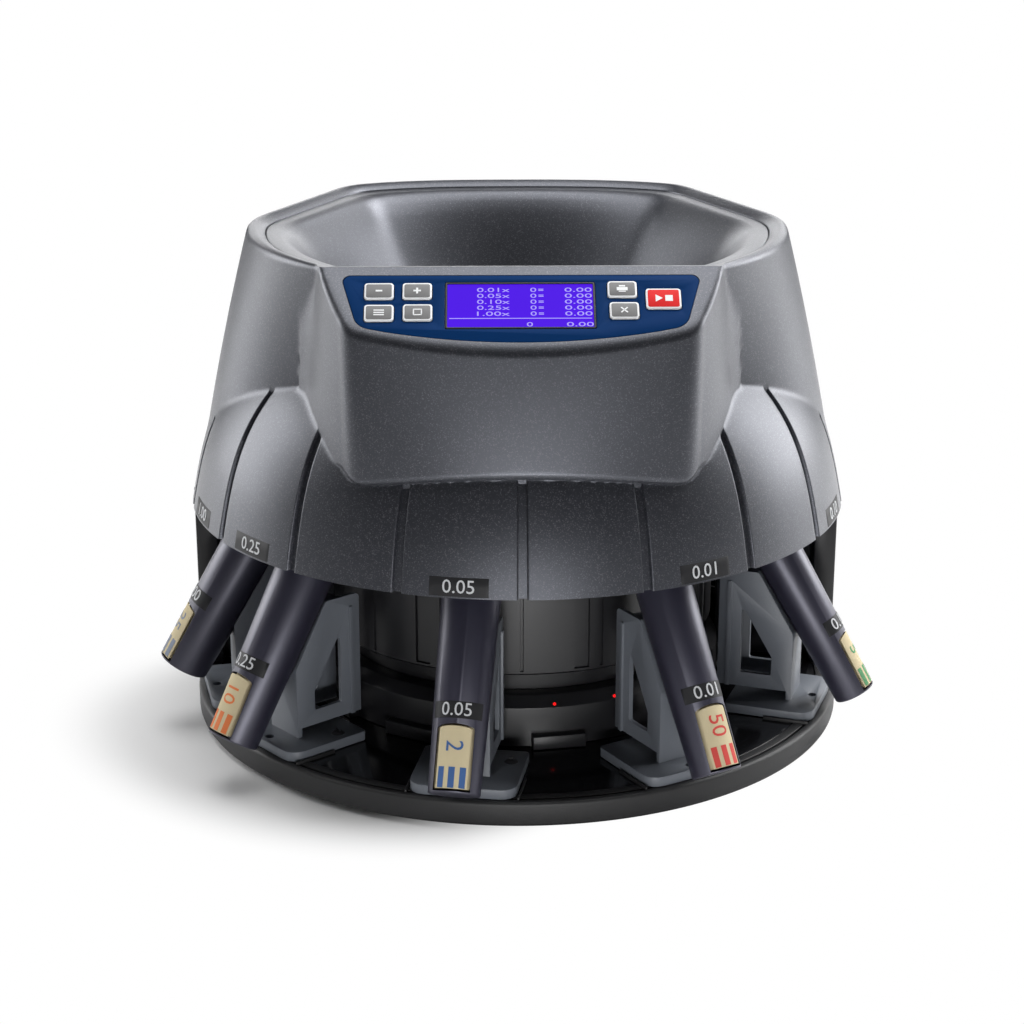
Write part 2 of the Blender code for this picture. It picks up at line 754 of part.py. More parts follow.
def console_solid(name, inset, low, high, roof, edge):
    """The console block: a loft from a plan outline up to the sloping panel."""
    bottom = mirrored(console_outline(CONSOLE_LOW_SIDE, CONSOLE_LOW_FRONT, CONSOLE_LOW_BOW,
                                      CONSOLE_LOW_CORNER, CONSOLE_LOW_BACK,
                                      CONSOLE_LOW_TAPER_SHARE, inset))
    rings = [[(x, y, low) for x, y in bottom]]
    rise = sin(PANEL_SLOPE) / cos(PANEL_SLOPE)
    for across, down in EDGE_ROUND_SHARES if edge > 0 else EDGE_ROUND_SHARES[:1]:
        top = mirrored(console_outline(CONSOLE_TOP_SIDE, CONSOLE_TOP_FRONT, CONSOLE_TOP_BOW,
                                       CONSOLE_TOP_CORNER, CONSOLE_TOP_BACK,
                                       CONSOLE_TOP_TAPER_SHARE, inset + edge * across))
        drop = roof / cos(PANEL_SLOPE) + edge * down
        rings.append([(x, y, RIM_TOP + (y - PANEL_EDGE_Y) * rise - drop) for x, y in top])
    solid = loft(name, rings)
    size = SKIRT_RADIUS * 2
    return cut(solid, box("top_cutter", (size, size, size), (0, 0, high + size / 2)))


def panel_matrix():
    """The frame of the sloping panel: X across, Y up the slope, Z out of it."""
    return Matrix.Translation((0, PANEL_EDGE_Y, RIM_TOP)) @ Matrix.Rotation(PANEL_SLOPE, 4, "X")


def plate_outline(grow=0.0):
    """The panel plate's outline in the panel's frame."""
    top = (PLATE_HALF_WIDTH + grow, -PLATE_TOP + grow)
    low_x = PLATE_HALF_WIDTH - PLATE_SIDE_FALL + grow
    front = -PLATE_FRONT_DOWN - grow
    arc_end = low_x * CORNER_REACH_SHARE
    low = (low_x, bowed(front, PLATE_FRONT_BOW, low_x))
    half = fillet(top, (0, top[1]), low, PLATE_TOP_RADIUS)
    half += fillet(low, top, (arc_end, bowed(front, PLATE_FRONT_BOW, arc_end)), PLATE_LOW_RADIUS)
    half += [(half[-1][0] * share, bowed(front, PLATE_FRONT_BOW, half[-1][0] * share))
             for share in FRONT_SHARES]
    return mirrored(half)


def slot_cutters():
    """Radial plates that groove the skirt between its segments."""
    inner = skirt_arc(SKIRT_ARC_TOP - WALL, SLOT_DEPTH)
    outer = skirt_arc(SKIRT_ARC_TOP - WALL, -SLOT_RELIEF)
    low = SKIRT_BOTTOM - CUT_OVERRUN
    outline = [(inner[0][0], low)] + inner + list(reversed(outer)) + [(outer[0][0], low)]
    first = None
    for k in range(-SLOT_COUNT_HALF, SLOT_COUNT_HALF + 1):
        plate = side_plate("slot_cutter", outline, SLOT_WIDTH / 2)
        plate.data.transform(turn_about_z(k * SLOT_PITCH))
        first = merged(first, plate)
    return first


def merged(first, other):
    """Put solids that lie apart into one mesh, to cut with them together."""
    if first is None:
        return other
    bm = bmesh.new()
    bm.from_mesh(first.data)
    bm.from_mesh(other.data)
    bm.to_mesh(first.data)
    bm.free()
    bpy.data.objects.remove(other, do_unlink=True)
    return first


def build_tray():
    """The round tray with its stepped edge, its guide rails and four pads."""
    floor = TRAY_TOP - TRAY_FLOOR_STEP
    groove_outer = TRAY_RADIUS - TRAY_BAND
    groove_inner = groove_outer - TRAY_GROOVE_WIDTH
    ledge = groove_inner - TRAY_LEDGE_WIDTH
    profile = [
        (0, floor), (ledge, floor), (ledge, TRAY_TOP), (groove_inner, TRAY_TOP),
        (groove_inner, TRAY_TOP - TRAY_GROOVE_DEPTH), (groove_outer, TRAY_TOP - TRAY_GROOVE_DEPTH),
        (groove_outer, TRAY_TOP), (TRAY_RADIUS - TRAY_EDGE, TRAY_TOP),
        (TRAY_RADIUS, TRAY_TOP - TRAY_EDGE), (TRAY_RADIUS, TRAY_BOTTOM + TRAY_EDGE),
        (TRAY_RADIUS - TRAY_EDGE, TRAY_BOTTOM), (0, TRAY_BOTTOM),
    ]
    tray = turned("base_tray", profile)
    cut(tray, rear_cutter(REAR_FLAT))
    rails = None
    rail_middle = groove_inner - RAIL_LENGTH / 2
    for azimuth in STATIONS.values():
        for side in (-1, 1):
            y = side * (FOOT_HALF_WIDTH + RAIL_WIDTH + SEAT_GAP)
            rail = box("rail", (RAIL_LENGTH, RAIL_WIDTH, RAIL_HEIGHT * 2), (rail_middle, y, TRAY_TOP))
            rail.data.transform(turn_about_z(azimuth))
            rails = merged(rails, rail)
    join(tray, rails)
    pockets = None
    for azimuth in PAD_AZIMUTHS:
        place = polar(PAD_CIRCLE, azimuth)
        pocket = rod("pocket", PAD_RADIUS + SEAT_GAP, TRAY_BOTTOM - CUT_OVERRUN,
                     TRAY_BOTTOM + PAD_RECESS, place)
        pockets = merged(pockets, pocket)
    cut(tray, pockets)
    publish(tray, TRAY_BLACK)
    for number, azimuth in enumerate(PAD_AZIMUTHS, 1):
        pad = rod(f"rubber_foot_{number}", PAD_RADIUS, TRAY_BOTTOM - PAD_DROP,
                  TRAY_BOTTOM + PAD_RECESS - SEAT_GAP, polar(PAD_CIRCLE, azimuth))
        publish(pad, RUBBER)


def build_column():
    """The column that carries the deck, with its panel lines, and the sensor ring."""
    inner = COLUMN_RADIUS - COLUMN_WALL
    top = DECK_BOTTOM - SEAT_GAP
    profile = [
        (COLUMN_HEAD - COLUMN_WALL, top), (COLUMN_HEAD, top), (COLUMN_HEAD, COLUMN_HEAD_LOW),
        (COLUMN_RADIUS, COLUMN_HIGH), (COLUMN_RADIUS, COLUMN_LOW), (COLUMN_NECK, COLUMN_LOW),
        (COLUMN_NECK, STAND_Z), (COLUMN_NECK - COLUMN_WALL, STAND_Z),
        (COLUMN_NECK - COLUMN_WALL, COLUMN_LOW + COLUMN_WALL), (inner, COLUMN_LOW + COLUMN_WALL),
        (inner, COLUMN_HIGH), (COLUMN_HEAD - COLUMN_WALL, COLUMN_HEAD_LOW),
    ]
    column = turned("column", profile, COLUMN_LINES * 2, ring=True)
    height = COLUMN_HIGH - COLUMN_LOW
    middle = (COLUMN_HIGH + COLUMN_LOW) / 2
    lines = None
    for k in range(COLUMN_LINES):
        azimuth = COLUMN_LINE_START + k * 360 / COLUMN_LINES
        line = box("line", (COLUMN_LINE_DEPTH * 2, COLUMN_LINE_WIDTH, height + CUT_OVERRUN),
                   (COLUMN_RADIUS, 0, middle))
        line.data.transform(turn_about_z(azimuth))
        lines = merged(lines, line)
        bay = box("bay", (COLUMN_BAY_DEPTH * 2, COLUMN_BAY_WIDTH, height - CUT_OVERRUN),
                  (COLUMN_RADIUS, 0, middle))
        bay.data.transform(turn_about_z(azimuth - COLUMN_BAY_OFFSET))
        lines = merged(lines, bay)
    cut(column, lines)
    publish(column, BLACK_PLASTIC)
    bore = COLUMN_NECK + SEAT_GAP
    ring_profile = [(bore, RING_TOP), (RING_TOP_RADIUS, RING_TOP), (RING_RADIUS, RING_SHOULDER),
                    (RING_RADIUS, STAND_Z), (bore, STAND_Z)]
    ring = turned("sensor_ring", ring_profile, COLUMN_LINES * 2, ring=True)
    blocks = None
    for azimuth in STATIONS.values():
        depth, width, tall = RING_BLOCK_SIZE
        block = box("block", (depth * 2, width, tall), (RING_RADIUS - SEAT_GAP, 0, STAND_Z + tall / 2))
        block.data.transform(turn_about_z(azimuth + RING_BLOCK_OFFSET))
        blocks = merged(blocks, block)
    join(ring, blocks)
    cut(ring, rod("bore", bore, -CUT_OVERRUN, RING_TOP + CUT_OVERRUN, steps=COLUMN_LINES * 2))
    publish(ring, BLACK_PLASTIC)


def build_rear_wall():
    """The wall behind the tubes: a strip bent to the skirt's plan, with socket openings."""
    def path(inset):
        radius = TRAY_RADIUS - inset
        front = WALL_FRONT + inset
        step = WALL_FRONT + WALL_STEP + inset
        flat = REAR_FLAT - inset
        start = asin(front / radius)
        end = asin(flat / radius)
        side = [(WALL_GAP_X, step), (WALL_STEP_X + inset, step), (WALL_STEP_X + inset, front)]
        for i in range(WALL_ARC_STEPS + 1):
            angle = start + (end - start) * i / WALL_ARC_STEPS
            side.append((radius * cos(angle), radius * sin(angle)))
        return side + [(-x, y) for x, y in reversed(side)]

    outline = path(0) + list(reversed(path(WALL)))
    wall = slab("rear_wall", outline, STAND_Z, SKIRT_BOTTOM - SEAT_GAP)
    openings = None
    for (x, z), (wide, tall) in ((INLET_PLACE, INLET_SIZE), (SWITCH_PLACE, SWITCH_SIZE),
                                 (PORT_PLACE, PORT_SIZE)):
        size = (wide + SEAT_GAP * 2, WALL * 4, tall + SEAT_GAP * 2)
        openings = merged(openings, box("opening", size, (x, REAR_FLAT, z)))
    cut(wall, openings)
    publish(wall, BLACK_PLASTIC)


def build_housing():
    """The moulded upper housing: skirt, body and console in one shell."""
    housing = body_solid("upper_housing", 0, BODY_BOTTOM, RIM_TOP - RIM_SHOULDER, True)
    join(housing, skirt_solid("skirt", 0, SKIRT_BOTTOM, SKIRT_ARC_TOP))
    join(housing, console_solid("console", 0, BODY_BOTTOM, RIM_TOP - CONSOLE_SINK, 0,
                                CONSOLE_EDGE))
    cut(housing, rim_slope_cutter())
    cut(housing, rear_cutter(REAR_FLAT))

    hollow = body_solid("hollow", WALL, BODY_BOTTOM - WALL, CAVITY_TOP, False, INNER_STEPS)
    skirt_hollow = skirt_solid("skirt_hollow", WALL, SKIRT_BOTTOM - CUT_OVERRUN,
                               SKIRT_ARC_TOP - WALL, INNER_STEPS, SKIRT_STEPS // 2)
    cut(skirt_hollow, rear_cutter(REAR_FLAT - WALL))
    join(hollow, skirt_hollow)
    console_hollow = console_solid("console_hollow", WALL, BODY_BOTTOM - WALL,
                                   RIM_TOP - CONSOLE_ROOF, CONSOLE_ROOF, 0)
    size = SKIRT_RADIUS * 2
    stock_y = CONSOLE_RIM_WALL - BODY_FRONT_LIMIT
    cut(console_hollow, box("rim_stock", (size, size, size),
                            (0, stock_y + size / 2, CAVITY_TOP + size / 2)))
    join(hollow, console_hollow)
    cut(housing, hollow)

    seat = [[(x, y, z) for x, y, _ in oval(RIM_TOP, RIM_LIP)]
            for z in (BOWL_SEAT_Z, RIM_TOP + CUT_OVERRUN)]
    cut(housing, loft("bowl_seat", seat))
    throat = [[(x, y, z) for x, y, _ in oval(RIM_TOP, RIM_LIP + BOWL_SEAT_WIDTH)]
              for z in (CAVITY_TOP - CUT_OVERRUN, RIM_TOP)]
    cut(housing, loft("bowl_throat", throat))
    cut(housing, slot_cutters())
    cut_panel_openings(housing)
    publish(housing, GREY_SHELL)


def cut_panel_openings(housing):
    """The recess for the plate, and the openings for the keys and the display."""
    frame = panel_matrix()
    recess = slab("recess", plate_outline(SEAT_GAP), -PLATE_THICKNESS - SEAT_GAP, CUT_OVERRUN)
    recess.matrix_world = frame
    cut(housing, recess)
    holes = None
    deep = CONSOLE_ROOF + CUT_OVERRUN
    for x, down, (wide, tall) in KEYS.values():
        hole = box("hole", (wide + KEY_CLEARANCE * 2, tall + KEY_CLEARANCE * 2, deep),
                   (x, -down, -deep / 2))
        holes = merged(holes, hole)
    wide, tall = WINDOW_SIZE
    sight = box("sight", (wide - WINDOW_LEDGE * 2, tall - WINDOW_LEDGE * 2, deep),
                (WINDOW_CENTRE[0], -WINDOW_CENTRE[1], -deep / 2))
    holes = merged(holes, sight)
    holes.matrix_world = frame
    cut(housing, holes)
    rest = WINDOW_THICKNESS + SEAT_GAP
    shelf = box("shelf", (wide + SEAT_GAP * 2, tall + SEAT_GAP * 2, rest),
                (WINDOW_CENTRE[0], -WINDOW_CENTRE[1], -rest / 2))
    shelf.matrix_world = frame
    cut(housing, shelf)


def build_console(frame):
    """The panel plate, the display and its board, and seven keys that sink when pressed."""
    plate = slab("control_panel", plate_outline(), -PLATE_THICKNESS, 0)
    holes = None
    for x, down, (wide, tall) in KEYS.values():
        size = (wide + KEY_CLEARANCE * 2, tall + KEY_CLEARANCE * 2, PLATE_THICKNESS * 3)
        holes = merged(holes, box("hole", size, (x, -down, 0)))
    wide, tall = WINDOW_SIZE
    centre = (WINDOW_CENTRE[0], -WINDOW_CENTRE[1])
    size = (wide + SEAT_GAP * 2, tall + SEAT_GAP * 2, PLATE_THICKNESS * 3)
    holes = merged(holes, box("hole", size, (*centre, 0)))
    cut(plate, holes)
    publish(plate, PANEL_BLUE, smooth=False, parent=frame)

    window = box("display_window", (wide, tall, WINDOW_THICKNESS), (*centre, -WINDOW_THICKNESS / 2))
    publish(window, DISPLAY_VIOLET, smooth=False, parent=frame)

    flange_top = -CONSOLE_ROOF - SEAT_GAP
    key_low = flange_top - KEY_FLANGE_THICKNESS
    for name, (x, down, (key_wide, key_tall)) in KEYS.items():
        outline = rounded_box(key_wide / 2, key_tall / 2, KEY_CORNER, 3)
        key = slab(name, outline, flange_top - SEAT_GAP, KEY_HEIGHT)
        flange = box("flange", (key_wide + KEY_FLANGE * 2, key_tall + KEY_FLANGE * 2,
                                KEY_FLANGE_THICKNESS), (0, 0, (flange_top + key_low) / 2))
        join(key, flange)
        key.location = (x, -down, 0)
        publish(key, KEY_RED if name == "start_key" else KEY_GREY, parent=frame)

    board_top = key_low - KEY_TRAVEL - SWITCH_GAP
    board = box("control_board", (*BOARD_SIZE, BOARD_THICKNESS),
                (0, -BOARD_DOWN, board_top - BOARD_THICKNESS / 2))
    for x, down in BOARD_POST_PLACES:
        post = rod("post", BOARD_POST_RADIUS, board_top - BOARD_THICKNESS / 2,
                   -CONSOLE_ROOF - SEAT_GAP, (x, -down), steps=12)
        join(board, post)
    publish(board, BOARD_GREEN, smooth=False, parent=frame)

    size = (wide + DISPLAY_MARGIN * 2, tall + DISPLAY_MARGIN * 2)
    module_low = board_top + SEAT_GAP
    module = box("display_module", (*size, -CONSOLE_ROOF - SEAT_GAP - module_low),
                 (*centre, (-CONSOLE_ROOF - SEAT_GAP + module_low) / 2))
    publish(module, STEEL, smooth=False, parent=frame)


def build_bowl():
    """The hopper bowl: a flange in the rim, a ledge, and walls that fall to a round neck."""
    ledge_inset = BOWL_INSET + BOWL_LEDGE
    ledge_z = BOWL_TOP - SEAT_GAP
    ledge = oval(RIM_TOP, ledge_inset)
    neck_top = NECK_LOW + NECK_HEIGHT
    fall = ledge_z - neck_top

    def level(inset, z):
        return [(x, y, z) for x, y, _ in oval(RIM_TOP, inset)]

    inner = [blend(ledge, circle(NECK_RADIUS, 0), across, ledge_z - fall * down)
             for across, down in BOWL_SHARES]
    wide_neck = circle(NECK_RADIUS + NECK_WALL, 0)
    outer = [blend(ledge, wide_neck, across, ledge_z - fall * down - BOWL_WALL)
             for across, down in reversed(BOWL_SHARES)]
    seat_low = BOWL_SEAT_Z + SEAT_GAP
    throat = RIM_LIP + BOWL_SEAT_WIDTH + SEAT_GAP
    rings = [level(BOWL_INSET, BOWL_TOP), level(ledge_inset, ledge_z)] + inner
    rings += [circle(NECK_RADIUS, NECK_LOW), circle(NECK_RADIUS + NECK_WALL, NECK_LOW)]
    rings += outer
    rings += [level(throat, seat_low), level(BOWL_INSET, seat_low)]
    bowl = loft("hopper_bowl", rings, closed=True)
    publish(bowl, GREY_SHELL)


def build_deck():
    """The deck, the sorting ring on it, and a chute under each outlet."""
    bore = BEARING_RADIUS + SEAT_GAP
    low = DECK_BOTTOM - DECK_BOSS_DROP
    profile = [(bore, DECK_TOP), (DECK_RADIUS, DECK_TOP), (DECK_RADIUS, DECK_BOTTOM),
               (DECK_BOSS_RADIUS, DECK_BOTTOM), (DECK_BOSS_RADIUS, low), (bore, low)]
    deck = turned("deck_plate", profile, INNER_STEPS, ring=True)
    inner = CHUTE_RADIUS - CHUTE_WALL
    outlets = None
    for azimuth in STATIONS.values():
        outlet = rod("outlet", inner, DECK_BOTTOM - CUT_OVERRUN, DECK_TOP + CUT_OVERRUN,
                     polar(CHUTE_TOP_RADIUS, azimuth))
        outlets = merged(outlets, outlet)
    cut(deck, outlets)
    publish(deck, STEEL)

    rail_top = SORT_TOP + SORT_RAIL_HEIGHT
    rail = SORT_OUTER - SORT_RAIL_WIDTH
    profile = [(SORT_INNER, SORT_TOP), (rail, SORT_TOP), (rail, rail_top), (SORT_OUTER, rail_top),
               (SORT_OUTER, SORT_LOW), (SORT_INNER, SORT_LOW)]
    ring = turned("sorting_ring", profile, INNER_STEPS, ring=True)
    slots = None
    track = rail - SORT_INNER
    for azimuth in STATIONS.values():
        wide = track - SORT_RAIL_WIDTH * 2
        slot = box("slot", (wide, OUTLET_LENGTH, SORT_THICKNESS * 3),
                   (SORT_INNER + track / 2, 0, SORT_LOW + SORT_THICKNESS / 2))
        slot.data.transform(turn_about_z(azimuth))
        slots = merged(slots, slot)
    cut(ring, slots)
    publish(ring, STEEL)
    build_chutes()


def build_chutes():
    """Five leaning tubes that lead coins from the deck to the wrapper tubes."""
    top = DECK_BOTTOM - SEAT_GAP
    flange_low = top - CHUTE_FLANGE
    lean = (CHUTE_LOW_RADIUS - CHUTE_TOP_RADIUS) / (top - CHUTE_LOW)

    def section(radius, z):
        x = CHUTE_TOP_RADIUS + (top - z) * lean
        return [(x + px, py, z) for px, py, _ in circle(radius, z, SMALL_STEPS)]

    inner = CHUTE_RADIUS - CHUTE_WALL
    flange = CHUTE_RADIUS + CHUTE_FLANGE_WIDTH
    rings = [section(inner, top), section(flange, top), section(flange, flange_low),
             section(CHUTE_RADIUS, flange_low), section(CHUTE_RADIUS, CHUTE_LOW),
             section(inner, CHUTE_LOW)]
    for label, azimuth in STATIONS.items():
        chute = loft(f"chute_{label}", rings, closed=True)
        chute.rotation_euler = (0, 0, radians(azimuth - 90))
        publish(chute, BLACK_PLASTIC)


def gear_outline(teeth, phase):
    """A gear's outline: straight-sided teeth about a pitch circle."""
    pitch_radius = GEAR_MODULE * teeth / 2
    tip = pitch_radius + GEAR_MODULE * ADDENDUM_SHARE
    root = pitch_radius - GEAR_MODULE * DEDENDUM_SHARE
    step = 2 * pi / teeth
    wide = GEAR_BACKLASH_SHARE * step * TOOTH_ROOT_SHARE
    thin = TOOTH_TIP_SHARE * step
    points = []
    for k in range(teeth):
        middle = phase + k * step
        for radius, offset in ((root, -wide / 2), (tip, -thin / 2), (tip, thin / 2),
                               (root, wide / 2)):
            angle = middle + offset
            points.append((radius * cos(angle), radius * sin(angle)))
    return points


def build_drive():
    """The feed disc on its shaft, the gear pair, the bearings and the motor."""
    spin = empty("feed_spin")
    disc = rod("feed_disc", DISC_RADIUS, DISC_LOW, DISC_TOP, steps=OUTER_STEPS)
    for k in range(DISC_RIB_COUNT):
        size = (DISC_RIB_LENGTH, DISC_RIB_WIDTH, DISC_RIB_HEIGHT * 2)
        rib = box("rib", size, (CAP_RADIUS + DISC_RIB_LENGTH / 2 + SEAT_GAP * 4, 0, DISC_TOP))
        rib.data.transform(turn_about_z(k * 360 / DISC_RIB_COUNT))
        join(disc, rib)
    cut(disc, rod("bore", SHAFT_RADIUS + RUNNING_GAP, 0, RIM_TOP))
    publish(disc, STEEL, parent=spin)

    cap_low = DISC_TOP + SEAT_GAP
    cap_top = cap_low + CAP_HEIGHT
    bore_top = cap_low + SHAFT_IN_CAP + SEAT_GAP
    bore = SHAFT_RADIUS + RUNNING_GAP
    profile = [(0, cap_top), (CAP_TIP, cap_top - CAP_TIP / 4), (CAP_TIP * 2, cap_top - CAP_TIP),
               (CAP_RADIUS, cap_low + CAP_EDGE), (CAP_RADIUS, cap_low), (bore, cap_low),
               (bore, bore_top), (0, bore_top)]
    publish(turned("disc_cap", profile, SMALL_STEPS * 2), BLACK_PLASTIC, parent=spin)

    shaft = rod("drive_shaft", SHAFT_RADIUS, SHAFT_LOW, cap_low + SHAFT_IN_CAP)
    publish(shaft, STEEL, parent=spin)

    gear = slab("drive_gear", gear_outline(GEAR_TEETH, 0), GEAR_LOW, GEAR_LOW + GEAR_HEIGHT)
    join(gear, rod("hub", GEAR_HUB_RADIUS, GEAR_LOW - GEAR_HUB_HEIGHT, GEAR_LOW + GEAR_HEIGHT / 2))
    cut(gear, rod("bore", bore, 0, RIM_TOP))
    publish(gear, GEAR_WHITE, smooth=False, parent=spin)

    upper_top = DECK_TOP - SEAT_GAP
    for name, low, high in (("upper_bearing", upper_top - BEARING_HEIGHT, upper_top),
                            ("lower_bearing", BRACKET_PLATE_LOW + SEAT_GAP,
                             BRACKET_PLATE_LOW + BRACKET_PLATE_THICKNESS - SEAT_GAP)):
        profile = [(bore, high), (BEARING_RADIUS, high), (BEARING_RADIUS, low), (bore, low)]
        publish(turned(name, profile, SMALL_STEPS, ring=True), STEEL)

    plate_top = BRACKET_PLATE_LOW + BRACKET_PLATE_THICKNESS
    plate = rod("motor_bracket", BRACKET_PLATE_RADIUS, BRACKET_PLATE_LOW, plate_top,
                steps=INNER_STEPS)
    for azimuth in HANGER_AZIMUTHS:
        post = rod("hanger", HANGER_RADIUS, BRACKET_PLATE_LOW + BRACKET_PLATE_THICKNESS / 2,
                   DECK_BOTTOM - SEAT_GAP, polar(HANGER_CIRCLE, azimuth), steps=12)
        join(plate, post)
    cut(plate, rod("bore", BEARING_RADIUS + SEAT_GAP, 0, RIM_TOP))
    spindle = PINION_BORE + RUNNING_GAP
    place = (GEAR_DISTANCE, 0)
    cut(plate, rod("bore", spindle + SEAT_GAP, 0, RIM_TOP, place))
    publish(plate, STEEL)

    motor_top = BRACKET_PLATE_LOW - SEAT_GAP
    motor_low = motor_top - MOTOR_HEIGHT
    spindle_low = motor_top - MOTOR_HEIGHT / 4
    profile = [(0, spindle_low), (spindle, spindle_low), (spindle, motor_top),
               (MOTOR_RADIUS - MOTOR_EDGE, motor_top), (MOTOR_RADIUS, motor_top - MOTOR_EDGE),
               (MOTOR_RADIUS, motor_low + MOTOR_EDGE), (MOTOR_RADIUS - MOTOR_EDGE, motor_low),
               (0, motor_low)]
    motor = turned("motor", profile, INNER_STEPS // 2)
    motor.data.transform(Matrix.Translation((*place, 0)))
    publish(motor, STEEL)

    pinion = slab("motor_pinion", gear_outline(PINION_TEETH, pi + pi / PINION_TEETH),
                  GEAR_LOW, GEAR_LOW + GEAR_HEIGHT)
    join(pinion, rod("spindle", PINION_BORE, spindle_low + SEAT_GAP, GEAR_LOW + GEAR_HEIGHT / 2))
    pinion.location = (*place, 0)
    publish(pinion, GEAR_WHITE, smooth=False)


def tube_axis_x(z):
    """How far from the middle the tubes' axes lie at a level."""
    return TUBE_MOUTH_RADIUS + (TUBE_MOUTH_Z - z) * tan(TUBE_LEAN)


def tube_matrix():
    """The frame of a wrapper tube: its foot at the origin, its mouth up local Z."""
    foot_z = TUBE_MOUTH_Z - TUBE_LENGTH * cos(TUBE_LEAN)
    place = Matrix.Translation((tube_axis_x(foot_z), 0, foot_z))
    return place @ Matrix.Rotation(-TUBE_LEAN, 4, "Y")


def tube_radius(share, up):
    """A tube's outer radius at a distance up its axis."""
    return (TUBE_LOW_RADIUS + (TUBE_TOP_RADIUS - TUBE_LOW_RADIUS) * up / TUBE_LENGTH) * share


def tube_mesh(share, foot):
    """A tapered tube with a closed foot and an arched window on its outer side."""
    floor = foot + TUBE_FLOOR
    profile = [(0, floor), (tube_radius(share, floor) - TUBE_WALL, floor),
               (tube_radius(share, TUBE_LENGTH) - TUBE_WALL, TUBE_LENGTH),
               (tube_radius(share, TUBE_LENGTH), TUBE_LENGTH), (tube_radius(share, foot), foot),
               (0, foot)]
    tube = turned("tube", profile, TUBE_STEPS)
    half = TUBE_WINDOW_WIDTH * share / 2
    low = floor + TUBE_WINDOW_LOW
    shoulder = foot + TUBE_WINDOW_HIGH - TUBE_WINDOW_RISE
    arch = [(half * cos(pi * i / WINDOW_STEPS), shoulder + TUBE_WINDOW_RISE * sin(pi * i / WINDOW_STEPS))
            for i in range(WINDOW_STEPS + 1)]
    window = extruded("window", [(-half, low), (half, low)] + arch, TUBE_TOP_RADIUS)
    stand = Matrix(((0, 0, 1, TUBE_TOP_RADIUS), (1, 0, 0, 0), (0, 1, 0, 0), (0, 0, 0, 1)))
    window.data.transform(stand)
    cut(tube, window)
    tube.data.transform(tube_matrix())
    return tube


def wrapper_mesh(share, foot):
    """The paper wrapper that stands in the tube."""
    low = foot + TUBE_FLOOR + SEAT_GAP
    radius = tube_radius(share, low) - TUBE_WALL - SEAT_GAP
    bore = radius - WRAPPER_WALL
    top = low + WRAPPER_LENGTH - foot
    profile = [(0, low + WRAPPER_WALL), (bore, low + WRAPPER_WALL), (bore, top), (radius, top),
               (radius, low), (0, low)]
    wrapper = turned("wrapper", profile, WRAPPER_STEPS)
    wrapper.data.transform(tube_matrix())
    return wrapper


